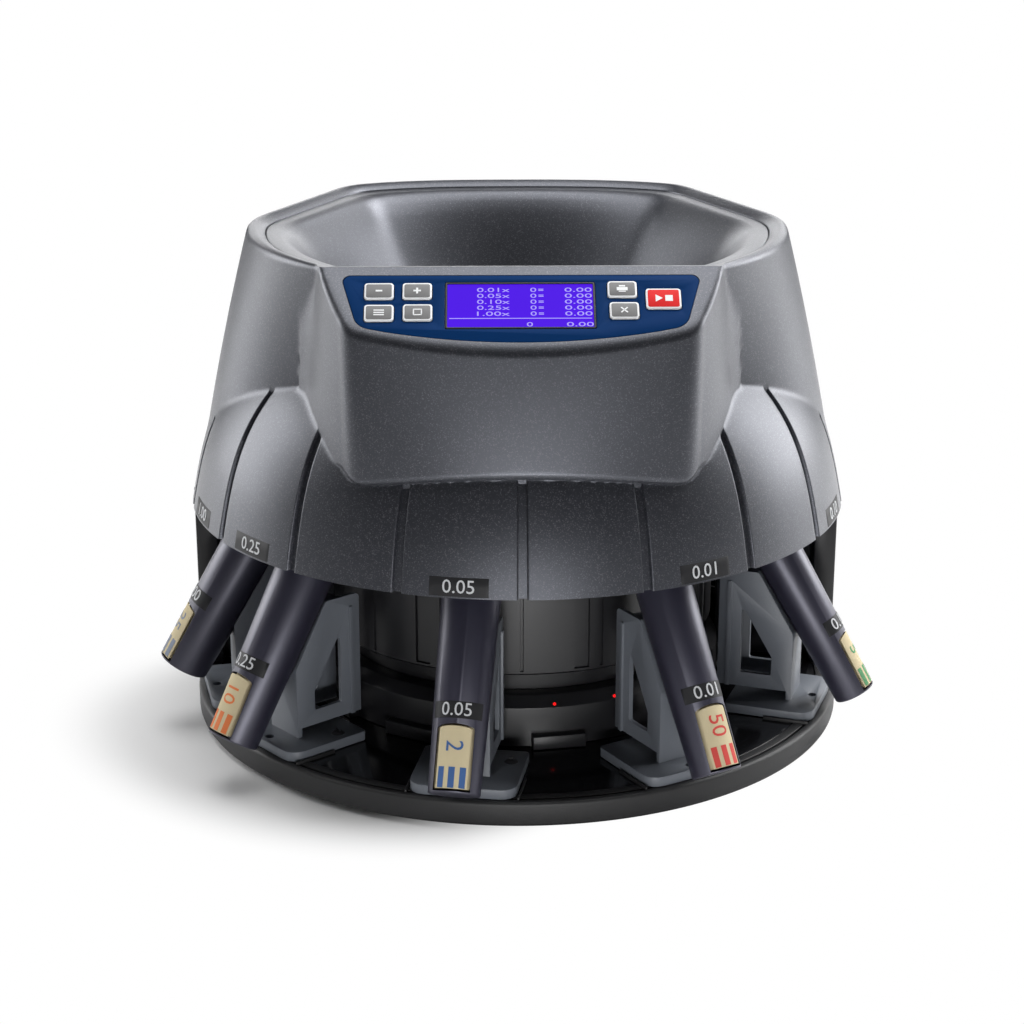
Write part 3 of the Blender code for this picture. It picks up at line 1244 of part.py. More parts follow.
def bracket_mesh(share):
    """A tube bracket: two open side plates, a front web that cradles the tube, and a foot."""
    crest = tube_axis_x(PLATE_HIGH) - PLATE_SETBACK
    knee = tube_axis_x(KNEE_Z) - PLATE_SETBACK
    outline = rounded([
        (PLATE_INNER, PLATE_LOW, 0), (knee, PLATE_LOW, 0), (knee, KNEE_Z, PLATE_ROUND),
        (crest, PLATE_HIGH, PLATE_ROUND), (PLATE_INNER, PLATE_HIGH, PLATE_ROUND)], 3)
    solid = side_plate("bracket", outline, PLATE_OUTER_HALF)
    toe = box("toe", (WEB_THICKNESS, PLATE_OUTER_HALF * 2, PLATE_LOW - STAND_Z),
              (knee - WEB_THICKNESS / 2, 0, (PLATE_LOW + STAND_Z) / 2 + SEAT_GAP))
    join(solid, toe)
    back = PLATE_INNER - CUT_OVERRUN
    run = tan(TUBE_LEAN)
    behind = web_back_x(PLATE_HIGH + CUT_OVERRUN)
    hollow = side_plate("hollow", [
        (back, PLATE_LOW - CUT_OVERRUN), (knee - WEB_THICKNESS, PLATE_LOW - CUT_OVERRUN),
        (knee - WEB_THICKNESS, KNEE_Z - WEB_THICKNESS * run * 2), (web_back_x(KNEE_Z), KNEE_Z),
        (behind, PLATE_HIGH + CUT_OVERRUN), (back, PLATE_HIGH + CUT_OVERRUN)],
        PLATE_OUTER_HALF - PLATE_SIDE)
    cut(solid, hollow)
    low = PLATE_LOW + OPENING_FOOT
    window_back = PLATE_INNER + FRAME_WIDTH
    window_front = knee - FRAME_FRONT_WIDTH
    apex = PLATE_HIGH - (window_back + WINDOW_PEAK + SLANT_WIDTH - crest) / run
    shoulder = PLATE_HIGH - (window_front + SLANT_WIDTH - crest) / run
    window = side_plate("window", rounded([
        (window_back, low, WINDOW_ROUND), (window_front, low, WINDOW_ROUND),
        (window_front, shoulder, WINDOW_ROUND),
        (window_back + WINDOW_PEAK, apex, WINDOW_PEAK_ROUND),
        (window_back, apex, WINDOW_PEAK_ROUND)], 2), PLATE_OUTER_HALF * 2)
    cut(solid, window)
    for side in (-1, 1):
        middle = PLATE_INNER + RIB_OFFSET
        rib = rounded([(middle - RIB_WIDTH / 2, PLATE_LOW, 0), (middle + RIB_WIDTH / 2, PLATE_LOW, 0),
                       (middle + RIB_WIDTH / 2, PLATE_HIGH - RIB_MARGIN, RIB_WIDTH * RIB_ROUND_SHARE),
                       (middle - RIB_WIDTH / 2, PLATE_HIGH - RIB_MARGIN, RIB_WIDTH * RIB_ROUND_SHARE)], 3)
        join(solid, side_plate("rib", rib, RIB_HEIGHT, side * PLATE_OUTER_HALF))
    foot = slab("foot", rounded([
        (FOOT_BACK, -FOOT_HALF_WIDTH, FOOT_BACK_ROUND), (FOOT_FRONT, -FOOT_HALF_WIDTH, FOOT_CORNER),
        (FOOT_FRONT, FOOT_HALF_WIDTH, FOOT_CORNER), (FOOT_BACK, FOOT_HALF_WIDTH, FOOT_BACK_ROUND)]),
        STAND_Z, FOOT_TOP)
    join(solid, foot)
    hole_x = FOOT_FRONT - FOOT_HOLE_INSET
    cut(solid, rod("hole", FOOT_HOLE_RADIUS, 0, KNEE_Z / 2, (hole_x, 0), steps=16))
    cradle = rod("cradle", tube_radius(share, 0) + CRADLE_GAP, 0, TUBE_LENGTH, steps=TUBE_STEPS,
                 top_radius=tube_radius(share, TUBE_LENGTH) + CRADLE_GAP)
    cradle.data.transform(tube_matrix())
    cut(solid, cradle)
    return solid


def web_back_x(z):
    """How far out the back of the cradling web lies at a level."""
    reach = (TUBE_TOP_RADIUS * max(TUBE_SIZE_SHARES.values()) + CRADLE_GAP + WEB_THICKNESS)
    return tube_axis_x(z) - reach / cos(TUBE_LEAN)


def build_stations():
    """Five tube stations, each a bracket, a tube and a wrapper that slide out together."""
    for label, azimuth in STATIONS.items():
        carrier = empty(f"station_{label}", rotation=(0, 0, radians(azimuth - 90)))
        share = TUBE_SIZE_SHARES[label]
        foot = SHORT_TUBE_RISE if label == SHORT_TUBE else 0
        for kind, solid, finish in (("tube_bracket", bracket_mesh(share), BRACKET_GREY),
                                    ("coin_tube", tube_mesh(share, foot), TUBE_BLACK),
                                    ("coin_wrapper", wrapper_mesh(share, foot), PAPER)):
            solid.name = f"{kind}_{label}"
            publish(solid, finish, parent=carrier)


def build_sockets():
    """The power inlet, the rocker switch, the printer port and the power supply."""
    face = REAR_FLAT + SEAT_GAP
    wide, tall = INLET_SIZE
    x, z = INLET_PLACE
    flange = (wide + INLET_FLANGE * 2, INLET_FLANGE_THICKNESS, tall + INLET_FLANGE)
    inlet = box("power_inlet", flange, (x, face + INLET_FLANGE_THICKNESS / 2, z))
    join(inlet, box("body", (wide, INLET_DEPTH, tall), (x, face - INLET_DEPTH / 2 + SEAT_GAP, z)))
    cavity = box("cavity", (INLET_CAVITY[0], INLET_CAVITY_DEPTH * 2, INLET_CAVITY[1]),
                 (x, face + INLET_FLANGE_THICKNESS, z))
    cut(inlet, cavity)
    floor = face + INLET_FLANGE_THICKNESS - INLET_CAVITY_DEPTH
    for k in (-1, 0, 1):
        pin = rod("pin", INLET_PIN_RADIUS, 0, INLET_PIN_LENGTH + CUT_OVERRUN, steps=8)
        pin.data.transform(Matrix.Rotation(-pi / 2, 4, "X"))
        pin.data.transform(Matrix.Translation((x + k * INLET_PIN_PITCH, floor - CUT_OVERRUN, z)))
        join(inlet, pin)
    publish(inlet, BLACK_PLASTIC, smooth=False)

    wide, tall = SWITCH_SIZE
    x, z = SWITCH_PLACE
    flange = (wide + SWITCH_FLANGE * 2, SWITCH_FLANGE, tall + SWITCH_FLANGE * 2)
    bezel = box("switch_frame", flange, (x, face + SWITCH_FLANGE / 2, z))
    join(bezel, box("body", (wide, SWITCH_DEPTH, tall), (x, face - SWITCH_DEPTH / 2 + SEAT_GAP, z)))
    hollow = (wide - SWITCH_WALL * 2, SWITCH_DEPTH * 2 - SWITCH_WALL * 2, tall - SWITCH_WALL * 2)
    cut(bezel, box("hollow", hollow, (x, face + SEAT_GAP, z)))
    publish(bezel, BLACK_PLASTIC, smooth=False)

    reach = wide / 2 - SWITCH_WALL - SEAT_GAP * 2
    width = tall - SWITCH_WALL * 2 - SEAT_GAP * 4
    corners = [(reach, -ROCKER_BASE), (reach, ROCKER_CORNER),
               (reach * sin(radians(ROCKER_CORNER)) * ROCKER_CREST_SHARE, 90),
               (reach, 180 - ROCKER_CORNER), (reach, 180 + ROCKER_BASE)]
    outline = [(radius * cos(radians(angle - ROCKER_TILT)),
                radius * sin(radians(angle - ROCKER_TILT))) for radius, angle in corners]
    rocker = side_plate("power_rocker", outline, width / 2)
    rocker.data.transform(Matrix.Rotation(-pi / 2, 4, "X"))
    rocker.location = (x, face - ROCKER_AXIS_DEPTH, z)
    publish(rocker, BLACK_PLASTIC, smooth=False)

    wide, tall = PORT_SIZE
    x, z = PORT_PLACE
    flange = (wide + PORT_FLANGE * 2, PORT_FLANGE, tall + PORT_FLANGE * 2)
    port = box("printer_port", flange, (x, face + PORT_FLANGE / 2, z))
    join(port, box("body", (wide, PORT_DEPTH, tall), (x, face - PORT_DEPTH / 2 + SEAT_GAP, z)))
    cut(port, box("cavity", (PORT_CAVITY[0], PORT_DEPTH, PORT_CAVITY[1]), (x, face, z)))
    publish(port, BLACK_PLASTIC, smooth=False)

    wide, deep, tall = SUPPLY_SIZE
    supply = box("power_supply", SUPPLY_SIZE, (*SUPPLY_PLACE, STAND_Z + tall / 2))
    publish(supply, STEEL, smooth=False)


def build():
    """Build the coin counter from its tray up."""
    clear_scene()
    build_tray()
    build_column()
    build_rear_wall()
    build_housing()
    matrix = panel_matrix()
    build_console(empty("panel_frame", matrix.to_translation(), matrix.to_euler()))
    build_bowl()
    build_deck()
    build_drive()
    build_stations()
    build_sockets()
    for block in list(bpy.data.meshes):
        if block.users == 0:
            bpy.data.meshes.remove(block)


build()
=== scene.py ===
"""Dress the coin counter: fine moulded surfaces, finishes, camera and soft studio light."""

import logging
from dataclasses import dataclass, field
from enum import Enum
from math import atan, atan2, cos, degrees, pi, radians, sin, sqrt, tan
from typing import Callable, Iterable, Sequence

import bpy
import numpy as np
from mathutils import Matrix, Vector


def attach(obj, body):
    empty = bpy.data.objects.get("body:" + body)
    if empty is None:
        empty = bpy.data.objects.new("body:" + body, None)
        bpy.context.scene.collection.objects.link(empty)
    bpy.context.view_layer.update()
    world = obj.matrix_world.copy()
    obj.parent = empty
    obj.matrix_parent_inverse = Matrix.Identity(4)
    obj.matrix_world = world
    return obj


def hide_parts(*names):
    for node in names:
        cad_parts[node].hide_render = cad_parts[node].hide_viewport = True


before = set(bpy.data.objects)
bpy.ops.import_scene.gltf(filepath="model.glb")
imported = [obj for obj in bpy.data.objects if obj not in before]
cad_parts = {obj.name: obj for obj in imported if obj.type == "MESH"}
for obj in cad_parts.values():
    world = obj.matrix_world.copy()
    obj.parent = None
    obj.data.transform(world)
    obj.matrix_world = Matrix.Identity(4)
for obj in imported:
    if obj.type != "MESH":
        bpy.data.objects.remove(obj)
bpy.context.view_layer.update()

LOG = logging.getLogger("coin_counter")
Colour = tuple[float, float, float]
Place = Callable[[int, int], Sequence[float]]

STATIONS: dict[str, float] = {"100": -77, "025": -50, "005": -10, "001": 30, "010": 70}
TUBE_SIZES: dict[str, float] = {"100": 1.05, "025": 1.03, "005": 1.0, "001": 0.97, "010": 0.86}
ROLLS: dict[str, str] = {"100": "25", "025": "10", "005": "2", "001": "50", "010": "5"}
VALUES: dict[str, str] = {"100": "1.00", "025": "0.25", "005": "0.05", "001": "0.01", "010": "0.10"}
MERGE = 0.000001
SLOT_SHARES = (0.0, 0.90, 1.02, 1.14, 1.28)
SLOT_DEPTH_SHARES = (1.0, 1.0, 0.14, 0.03, 0.0)
ARROW = ((-0.0038, -0.0022), (-0.0004, 0.0), (-0.0038, 0.0022))
SYMBOL_BARS = {
    "minus_key": ((0.0032, 0.0010, 0, 0, 0),),
    "plus_key": ((0.0036, 0.0010, 0, 0, 0), (0.0010, 0.0013, 0, 0.00115, 0),
                 (0.0010, 0.0013, 0, -0.00115, 0)),
    "mode_key": ((0.0050, 0.0007, 0, -0.0014, 0), (0.0050, 0.0007, 0, 0, 0),
                 (0.0050, 0.0007, 0, 0.0014, 0)),
    "set_key": ((0.0044, 0.0006, 0, 0.0017, 0), (0.0044, 0.0006, 0, -0.0017, 0),
                (0.0006, 0.0040, 0.0019, 0, 0), (0.0006, 0.0040, -0.0019, 0, 0)),
    "print_key": ((0.0052, 0.0020, 0, 0, 0), (0.0030, 0.0009, 0, 0.0018, 0),
                  (0.0034, 0.0006, 0, -0.0016, 0)),
    "clear_key": ((0.0044, 0.0007, 0, 0, 45), (0.0044, 0.0007, 0, 0, -45)),
    "start_key": ((0.0036, 0.0036, 0.0026, 0, 0),)}
LABEL_COLUMNS = 24
LABEL_SHARES = (0.0, 0.02, 0.5, 0.98, 1.0)
LABEL_SINK = 0.0002


def select_none() -> None:
    """Leave edit mode and deselect everything."""
    if bpy.context.object is not None and bpy.context.object.mode != "OBJECT":
        bpy.ops.object.mode_set(mode="OBJECT")
    bpy.ops.object.select_all(action="DESELECT")


def activate(piece: bpy.types.Object) -> None:
    """Select one piece alone and make it active.

    Args:
        piece: The piece.
    """
    select_none()
    piece.select_set(True)
    bpy.context.view_layer.objects.active = piece


def settle_shape(piece: bpy.types.Object) -> bpy.types.Object:
    """Merge doubles, turn the faces outwards and bake the place into the mesh.

    Args:
        piece: The mesh piece to clean.

    Returns:
        The same piece, at the origin with an identity transform.
    """
    activate(piece)
    bpy.ops.object.transform_apply(location=True, rotation=True, scale=True)
    bpy.ops.object.mode_set(mode="EDIT")
    bpy.ops.mesh.select_all(action="SELECT")
    bpy.ops.mesh.remove_doubles(threshold=MERGE)
    bpy.ops.mesh.normals_make_consistent(inside=False)
    bpy.ops.object.mode_set(mode="OBJECT")
    return piece


def add_modifier(piece: bpy.types.Object, kind: str, **values: object) -> None:
    """Add a modifier, set its values and apply it.

    Args:
        piece: The piece to change.
        kind: The modifier's type.
        **values: The modifier's settings by name.
    """
    activate(piece)
    modifier = piece.modifiers.new(kind.lower(), kind)
    for key, value in values.items():
        setattr(modifier, key, value)
    bpy.ops.object.modifier_apply(modifier=modifier.name)


def carve(piece: bpy.types.Object, cutter: bpy.types.Object, operation: str = "DIFFERENCE") -> None:
    """Cut or join a piece with another one, which is then removed.

    Args:
        piece: The piece that stays.
        cutter: The closed piece that cuts or joins it.
        operation: The Boolean operation.
    """
    add_modifier(piece, "BOOLEAN", operation=operation, object=cutter, solver="EXACT")
    bpy.data.objects.remove(cutter, do_unlink=True)


def soften(piece: bpy.types.Object, width: float, angle: float = 30, segments: int = 2) -> None:
    """Round a piece's edges and shade it smooth.

    Args:
        piece: The piece to round.
        width: The bevel's width in metres.
        angle: The least angle of an edge that is rounded, in degrees.
        segments: How many faces round each edge.
    """
    add_modifier(piece, "BEVEL", width=width, segments=segments, limit_method="ANGLE",
                 angle_limit=radians(angle), use_clamp_overlap=True, harden_normals=False)
    shade(piece, angle)


def shade(piece: bpy.types.Object, angle: float = 35) -> None:
    """Shade a piece smooth up to an angle in degrees."""
    activate(piece)
    bpy.ops.object.shade_smooth_by_angle(angle=radians(angle))


def bent_grid(name: str, columns: int, rows: int, place: Place, around: bool = True,
              looped: bool = False) -> bpy.types.Object:
    """Bend a grid primitive into a form, vertex by vertex.

    Args:
        name: The piece's name.
        columns: How many faces go round or across.
        rows: How many faces go along the profile.
        place: Gives the point of a column and a row.
        around: Whether the last column meets the first.
        looped: Whether the last row meets the first.

    Returns:
        The bent piece, with outward faces.
    """
    select_none()
    bpy.ops.mesh.primitive_grid_add(x_subdivisions=columns, y_subdivisions=rows, size=2)
    piece = bpy.context.object
    piece.name = name
    piece.data.name = name
    for vert in piece.data.vertices:
        i = round((vert.co.x + 1) / 2 * columns)
        j = round((vert.co.y + 1) / 2 * rows)
        vert.co = place(i % columns if around else i, j % rows if looped else j)
    return settle_shape(piece)


def turned(name: str, profile: Sequence[tuple[float, float]], steps: int = 96) -> bpy.types.Object:
    """Turn a profile of (radius, level) points about the Z axis.

    A profile that starts and ends on the axis makes a full solid, and any other a ring.

    Args:
        name: The piece's name.
        profile: The points of radius and level.
        steps: How many columns go round.

    Returns:
        The turned piece.
    """
    points = list(profile)
    ring = points[0][0] > MERGE or points[-1][0] > MERGE
    rows = len(points) if ring else len(points) - 1

    def place(i: int, j: int) -> tuple[float, float, float]:
        """Give the point of a column and a row.

        Args:
            i: The column.
            j: The row.

        Returns:
            The point's place.
        """
        radius, level = points[j % len(points)]
        turn = 2 * pi * i / steps
        return radius * cos(turn), radius * sin(turn), level

    return bent_grid(name, steps, rows, place, looped=ring)


def rounded_profile(points: Sequence[tuple[float, float, float]], steps: int = 4
                    ) -> list[tuple[float, float]]:
    """Round the corners of a profile.

    Args:
        points: Corners as (radius, level, corner radius).
        steps: How many edges round each corner.

    Returns:
        The profile with its corners as short arcs.
    """
    result: list[tuple[float, float]] = []
    count = len(points)
    for i, (x, y, radius) in enumerate(points):
        if radius <= 0:
            result.append((x, y))
            continue
        here = Vector((x, y))
        before = (Vector(points[i - 1][:2]) - here).normalized()
        after = (Vector(points[(i + 1) % count][:2]) - here).normalized()
        half = before.angle(after) / 2
        reach = radius / tan(half)
        middle = here + (before + after).normalized() * (radius / sin(half))
        start = here + before * reach - middle
        end = here + after * reach - middle
        sweep = atan2(start.x * end.y - start.y * end.x, start.dot(end))
        for k in range(steps + 1):
            turn = Matrix.Rotation(sweep * k / steps, 2)
            result.append(tuple(middle + turn @ start))
    return result


def rounded_rectangle(half_x: float, half_y: float, radius: float, steps: int = 4
                      ) -> list[tuple[float, float]]:
    """Give the outline of a rectangle with round corners."""
    return rounded_profile([(half_x, -half_y, radius), (half_x, half_y, radius),
                            (-half_x, half_y, radius), (-half_x, -half_y, radius)], steps)


def block(name: str, size: Sequence[float], centre: Sequence[float] = (0, 0, 0),
          bevel: float = 0.0) -> bpy.types.Object:
    """Add a box at its size and place, with round edges where a bevel is given.

    Args:
        name: The box's name.
        size: Its size along each axis.
        centre: Its middle.
        bevel: How far its edges are rounded.

    Returns:
        The box.
    """
    select_none()
    bpy.ops.mesh.primitive_cube_add(size=1, location=centre, scale=size)
    piece = bpy.context.object
    piece.name = name
    piece.data.name = name
    settle_shape(piece)
    if bevel > 0:
        soften(piece, bevel, segments=3)
    return piece


def plate(name: str, outline: Sequence[tuple[float, float]], low: float, high: float
          ) -> bpy.types.Object:
    """Make a flat plate from an outline: a filled circle primitive, reshaped and extruded.

    Args:
        name: The piece's name.
        outline: The outline's points, in order.
        low: The level of the underside.
        high: The level of the top.

    Returns:
        The closed plate.
    """
    select_none()
    bpy.ops.mesh.primitive_circle_add(vertices=len(outline), radius=1, fill_type="NGON")
    piece = bpy.context.object
    piece.name = name
    piece.data.name = name
    for vert, (x, y) in zip(piece.data.vertices, outline):
        vert.co = (x, y, low)
    bpy.ops.object.mode_set(mode="EDIT")
    bpy.ops.mesh.select_all(action="SELECT")
    bpy.ops.mesh.extrude_region_move(TRANSFORM_OT_translate={"value": (0, 0, high - low)})
    bpy.ops.object.mode_set(mode="OBJECT")
    return settle_shape(piece)


def tablet(name: str, size: Sequence[float], grow: float, corner: float,
           levels: tuple[float, float], steps: int = 4) -> bpy.types.Object:
    """Make a flat plate with round corners about the origin.

    Args:
        name: The piece's name.
        size: Its width and height.
        grow: How much larger than its size it is, all round.
        corner: The radius of its corners.
        levels: Its underside and its top.
        steps: How many edges round each corner.

    Returns:
        The closed plate.
    """
    wide, tall = size
    outline = rounded_rectangle(wide / 2 + grow, tall / 2 + grow, corner, steps)
    return plate(name, outline, *levels)


def lettering(name: str, text: str, size: float, depth: float = 0.0002) -> bpy.types.Object:
    """Make raised numerals lying in the XY plane, centred on the origin.

    Args:
        name: The piece's name.
        text: The numerals.
        size: The font's size in metres.
        depth: How thick the numerals are.

    Returns:
        The numerals as a mesh.
    """
    select_none()
    bpy.ops.object.text_add()
    piece = bpy.context.object
    piece.data.body = text
    piece.data.size = size
    piece.data.extrude = depth / 2
    piece.data.align_x = "CENTER"
    piece.data.align_y = "CENTER"
    piece.data.resolution_u = 3
    bpy.ops.object.convert(target="MESH")
    piece = bpy.context.object
    piece.name = name
    piece.data.name = name
    return settle_shape(piece)


def sliced(piece: bpy.types.Object, step: float) -> bpy.types.Object:
    """Cut a flat piece across at even steps along X, so that it can be bent.

    Args:
        piece: The piece to cut.
        step: The distance between the cuts.

    Returns:
        The same piece.
    """
    activate(piece)
    reach = max(abs(vert.co.x) for vert in piece.data.vertices)
    bpy.ops.object.mode_set(mode="EDIT")
    for k in range(-int(reach / step), int(reach / step) + 1):
        bpy.ops.mesh.select_all(action="SELECT")
        bpy.ops.mesh.bisect(plane_co=(k * step, 0, 0), plane_no=(1, 0, 0))
    bpy.ops.object.mode_set(mode="OBJECT")
    return piece


def label_plate(name: str, proud: float,
                surface: Callable[[float, float, float], Sequence[float]]) -> bpy.types.Object:
    """Make a thin label on a curved surface, with its border sunk into the surface.

    Args:
        name: The piece's name.
        proud: How far the label stands off the surface.
        surface: Gives the point at a share across, a share up and a height off the surface.

    Returns:
        The label.
    """
    def place(i: int, j: int) -> Sequence[float]:
        """Give the point of a column and a row.

        Args:
            i: The column.
            j: The row.

        Returns:
            The point's place.
        """
        border = i in (0, LABEL_COLUMNS) or j in (0, len(LABEL_SHARES) - 1)
        height = -LABEL_SINK if border else proud
        return surface(2 * i / LABEL_COLUMNS - 1, LABEL_SHARES[j], height)

    piece = bent_grid(name, LABEL_COLUMNS, len(LABEL_SHARES) - 1, place, around=False)
    shade(piece, 60)
    return piece


def bend_to(piece: bpy.types.Object, mapping: Callable[[Vector], Vector]) -> bpy.types.Object:
    """Move every vertex of a piece by a mapping from its flat place.

    Args:
        piece: The piece.
        mapping: Gives the place of a flat point.

    Returns:
        The same piece, bent.
    """
    for vert in piece.data.vertices:
        vert.co = mapping(vert.co)
    piece.data.update()
    return piece


def joined(pieces: Iterable[bpy.types.Object], name: str) -> bpy.types.Object:
    """Join several pieces into one mesh under one name.

    Args:
        pieces: The pieces, which become one.
        name: The name of the whole.

    Returns:
        The joined piece.
    """
    group = list(pieces)
    select_none()
    for piece in group:
        piece.select_set(True)
    bpy.context.view_layer.objects.active = group[0]
    bpy.ops.object.join()
    group[0].name = name
    group[0].data.name = name
    return group[0]


def turn_about_z(azimuth: float) -> Matrix:
    """Give the turn that carries local +X onto an azimuth measured from -Y."""
    return Matrix.Rotation(radians(azimuth - 90), 4, "Z")


class Paint(Enum):
    """The finishes of the coin counter, by the record's slot names."""

    HOUSING = "housing"
    BLACK = "black"
    TRAY = "tray"
    BRACKET = "bracket"
    TUBE = "tube"
    PAPER = "paper"
    PANEL = "panel"
    KEY = "key"
    KEY_RED = "key_red"
    DISPLAY = "display"
    BOARD = "board"
    STEEL = "steel"
    RUBBER = "rubber"
    GEAR = "gear"


class Wiring:
    """The nodes and links of one material or world."""

    def __init__(self, owner: bpy.types.Material | bpy.types.World) -> None:
        """Switch the owner's nodes on and take hold of them.

        Args:
            owner: The material or world.
        """
        owner.use_nodes = True
        self.nodes = owner.node_tree.nodes
        self.links = owner.node_tree.links

    def fill(self, node: bpy.types.Node, sockets: dict[str | int, object]) -> bpy.types.Node:
        """Set or link a node's sockets.

        Args:
            node: The node.
            sockets: A value for each input, or the output that is linked to it.

        Returns:
            The same node.
        """
        for key, value in sockets.items():
            if isinstance(value, bpy.types.NodeSocket):
                self.links.new(value, node.inputs[key])
            else:
                node.inputs[key].default_value = value
        return node

    def add(self, kind: str, sockets: dict[str | int, object], **settings: str) -> bpy.types.Node:
        """Add a node.

        Args:
            kind: The shader node's kind.
            sockets: A value for each input, or the output that is linked to it.
            **settings: The node's own settings, made before its sockets.

        Returns:
            The new node.
        """
        node = self.nodes.new(f"ShaderNode{kind}")
        for key, value in settings.items():
            setattr(node, key, value)
        return self.fill(node, sockets)

    def coordinates(self) -> bpy.types.NodeSocket:
        """Give the object coordinates."""
        return self.add("TexCoord", {}).outputs["Object"]

    def noise(self, vector: bpy.types.NodeSocket, scale: float, detail: float = 2.0
              ) -> bpy.types.NodeSocket:
        """Give a noise of so many repeats for a metre and so many octaves."""
        sockets = {"Scale": scale, "Detail": detail, "Vector": vector}
        return self.add("TexNoise", sockets).outputs["Fac"]

    def seen(self, ray: str, other: bpy.types.NodeSocket | str, operation: str
             ) -> bpy.types.NodeSocket:
        """Combine what a kind of ray sees with another ray or another value.

        Args:
            ray: The light path's output.
            other: A second output of the light path, or any socket.
            operation: How the two are combined.

        Returns:
            The socket of the result.
        """
        path = self.add("LightPath", {})
        second = path.outputs[other] if isinstance(other, str) else other
        sockets = {0: path.outputs[ray], 1: second}
        return self.add("Math", sockets, operation=operation).outputs["Value"]


@dataclass(frozen=True)
class Finish:
    """A surface finish made of procedural nodes on object coordinates.

    Sizes of grain are in repeats for a metre.
    """

    name: str
    colour: Colour
    roughness: float
    metallic: float = 0.0
    grain: float = 0.0
    grain_depth: float = 0.0
    # Fleck settings: painted glints, light flecks mixed into the base colour that stand for the
    # plastic's sparkle.
    painted_glint: float = 0.0
    painted_glint_scale: float = 2400.0
    painted_glint_start: float = 0.80
    painted_glint_colour: Colour = (0.5, 0.5, 0.54)
    variation: float = 0.04
    variation_scale: float = 30.0
    roughness_spread: float = 0.05
    coat: float = 0.0
    coat_roughness: float = 0.1
    specular: float = 0.5
    specular_tint: Colour = (1.0, 1.0, 1.0)
    anisotropic: float = 0.0
    stretch: tuple[float, float, float] = (1.0, 1.0, 1.0)

    def make(self) -> bpy.types.Material:
        """Build the node material.

        Returns:
            The finished material.
        """
        made = bpy.data.materials.new(self.name)
        wiring = Wiring(made)
        shader = wiring.nodes["Principled BSDF"]
        mapped = wiring.add("Mapping", {"Vector": wiring.coordinates(), "Scale": self.stretch})
        vector = mapped.outputs["Vector"]
        cloud = wiring.noise(vector, self.variation_scale, 3)
        tint = wiring.add("Mix", {"A": (*self.shaded(1 - self.variation), 1),
                                  "B": (*self.shaded(1 + self.variation), 1),
                                  "Factor": cloud}, data_type="RGBA")
        colour = tint.outputs["Result"]
        # Painted glints: bright flecks mixed into the base colour.
        if self.painted_glint > 0:
            colour = self.add_painted_glints(wiring, vector, colour)
        spread = wiring.add("MapRange", {"To Min": self.roughness - self.roughness_spread,
                                         "To Max": self.roughness + self.roughness_spread,
                                         "Value": cloud})
        wiring.fill(shader, {
            "Metallic": self.metallic, "Coat Weight": self.coat,
            "Coat Roughness": self.coat_roughness, "Specular IOR Level": self.specular,
            "Specular Tint": (*self.specular_tint, 1), "Anisotropic": self.anisotropic,
            "Base Color": colour, "Roughness": spread.outputs["Result"]})
        if self.grain > 0:
            bump = wiring.add("Bump", {"Strength": 1.0, "Distance": self.grain_depth,
                                       "Height": wiring.noise(vector, self.grain, 2)})
            wiring.fill(shader, {"Normal": bump.outputs["Normal"]})
        return made

    def shaded(self, factor: float) -> Colour:
        """Give the colour made lighter or darker by a factor."""
        return tuple(min(channel * factor, 1.0) for channel in self.colour)

    def add_painted_glints(self, wiring: Wiring, vector: bpy.types.NodeSocket,
                colour: bpy.types.NodeSocket) -> bpy.types.NodeSocket:
        """Paint glints into a colour as fine bright flecks, standing for the sparkle of the
        plastic.

        Args:
            wiring: The material's nodes.
            vector: The socket of the coordinates.
            colour: The socket of the colour under the flecks.

        Returns:
            The socket of the colour with its painted glints.
        """
        cells = wiring.add("TexVoronoi", {"Scale": self.painted_glint_scale, "Vector": vector})
        split = wiring.add("SeparateColor", {"Color": cells.outputs["Color"]})
        chosen = wiring.add("MapRange", {"From Min": self.painted_glint_start, "From Max": 1.0,
                                         "To Max": self.painted_glint, "Value": split.outputs["Red"]})
        mix = wiring.add("Mix", {"A": colour, "B": (*self.painted_glint_colour, 1),
                                 "Factor": chosen.outputs["Result"]}, data_type="RGBA")
        return mix.outputs["Result"]


@dataclass(frozen=True)
class Glow:
    """A lit surface, such as a display or an indicator."""

    name: str
    colour: Colour
    strength: float
    base_share: float = 0.05
    dull_share: float = 0.92
    specular: float = 0.04

    def make(self) -> bpy.types.Material:
        """Build the node material.

        Returns:
            The finished material.
        """
        made = bpy.data.materials.new(self.name)
        wiring = Wiring(made)
        tint = wiring.add("Mix", {"A": (*self.dimmed(self.dull_share), 1), "B": (*self.colour, 1),
                                  "Factor": wiring.noise(wiring.coordinates(), 60.0)},
                          data_type="RGBA")
        wiring.fill(wiring.nodes["Principled BSDF"], {
            "Base Color": (*self.dimmed(self.base_share), 1), "Roughness": 0.5,
            "Specular IOR Level": self.specular, "Emission Strength": self.strength,
            "Emission Color": tint.outputs["Result"]})
        return made

    def dimmed(self, share: float) -> Colour:
        """Give a share of the colour."""
        return tuple(channel * share for channel in self.colour)


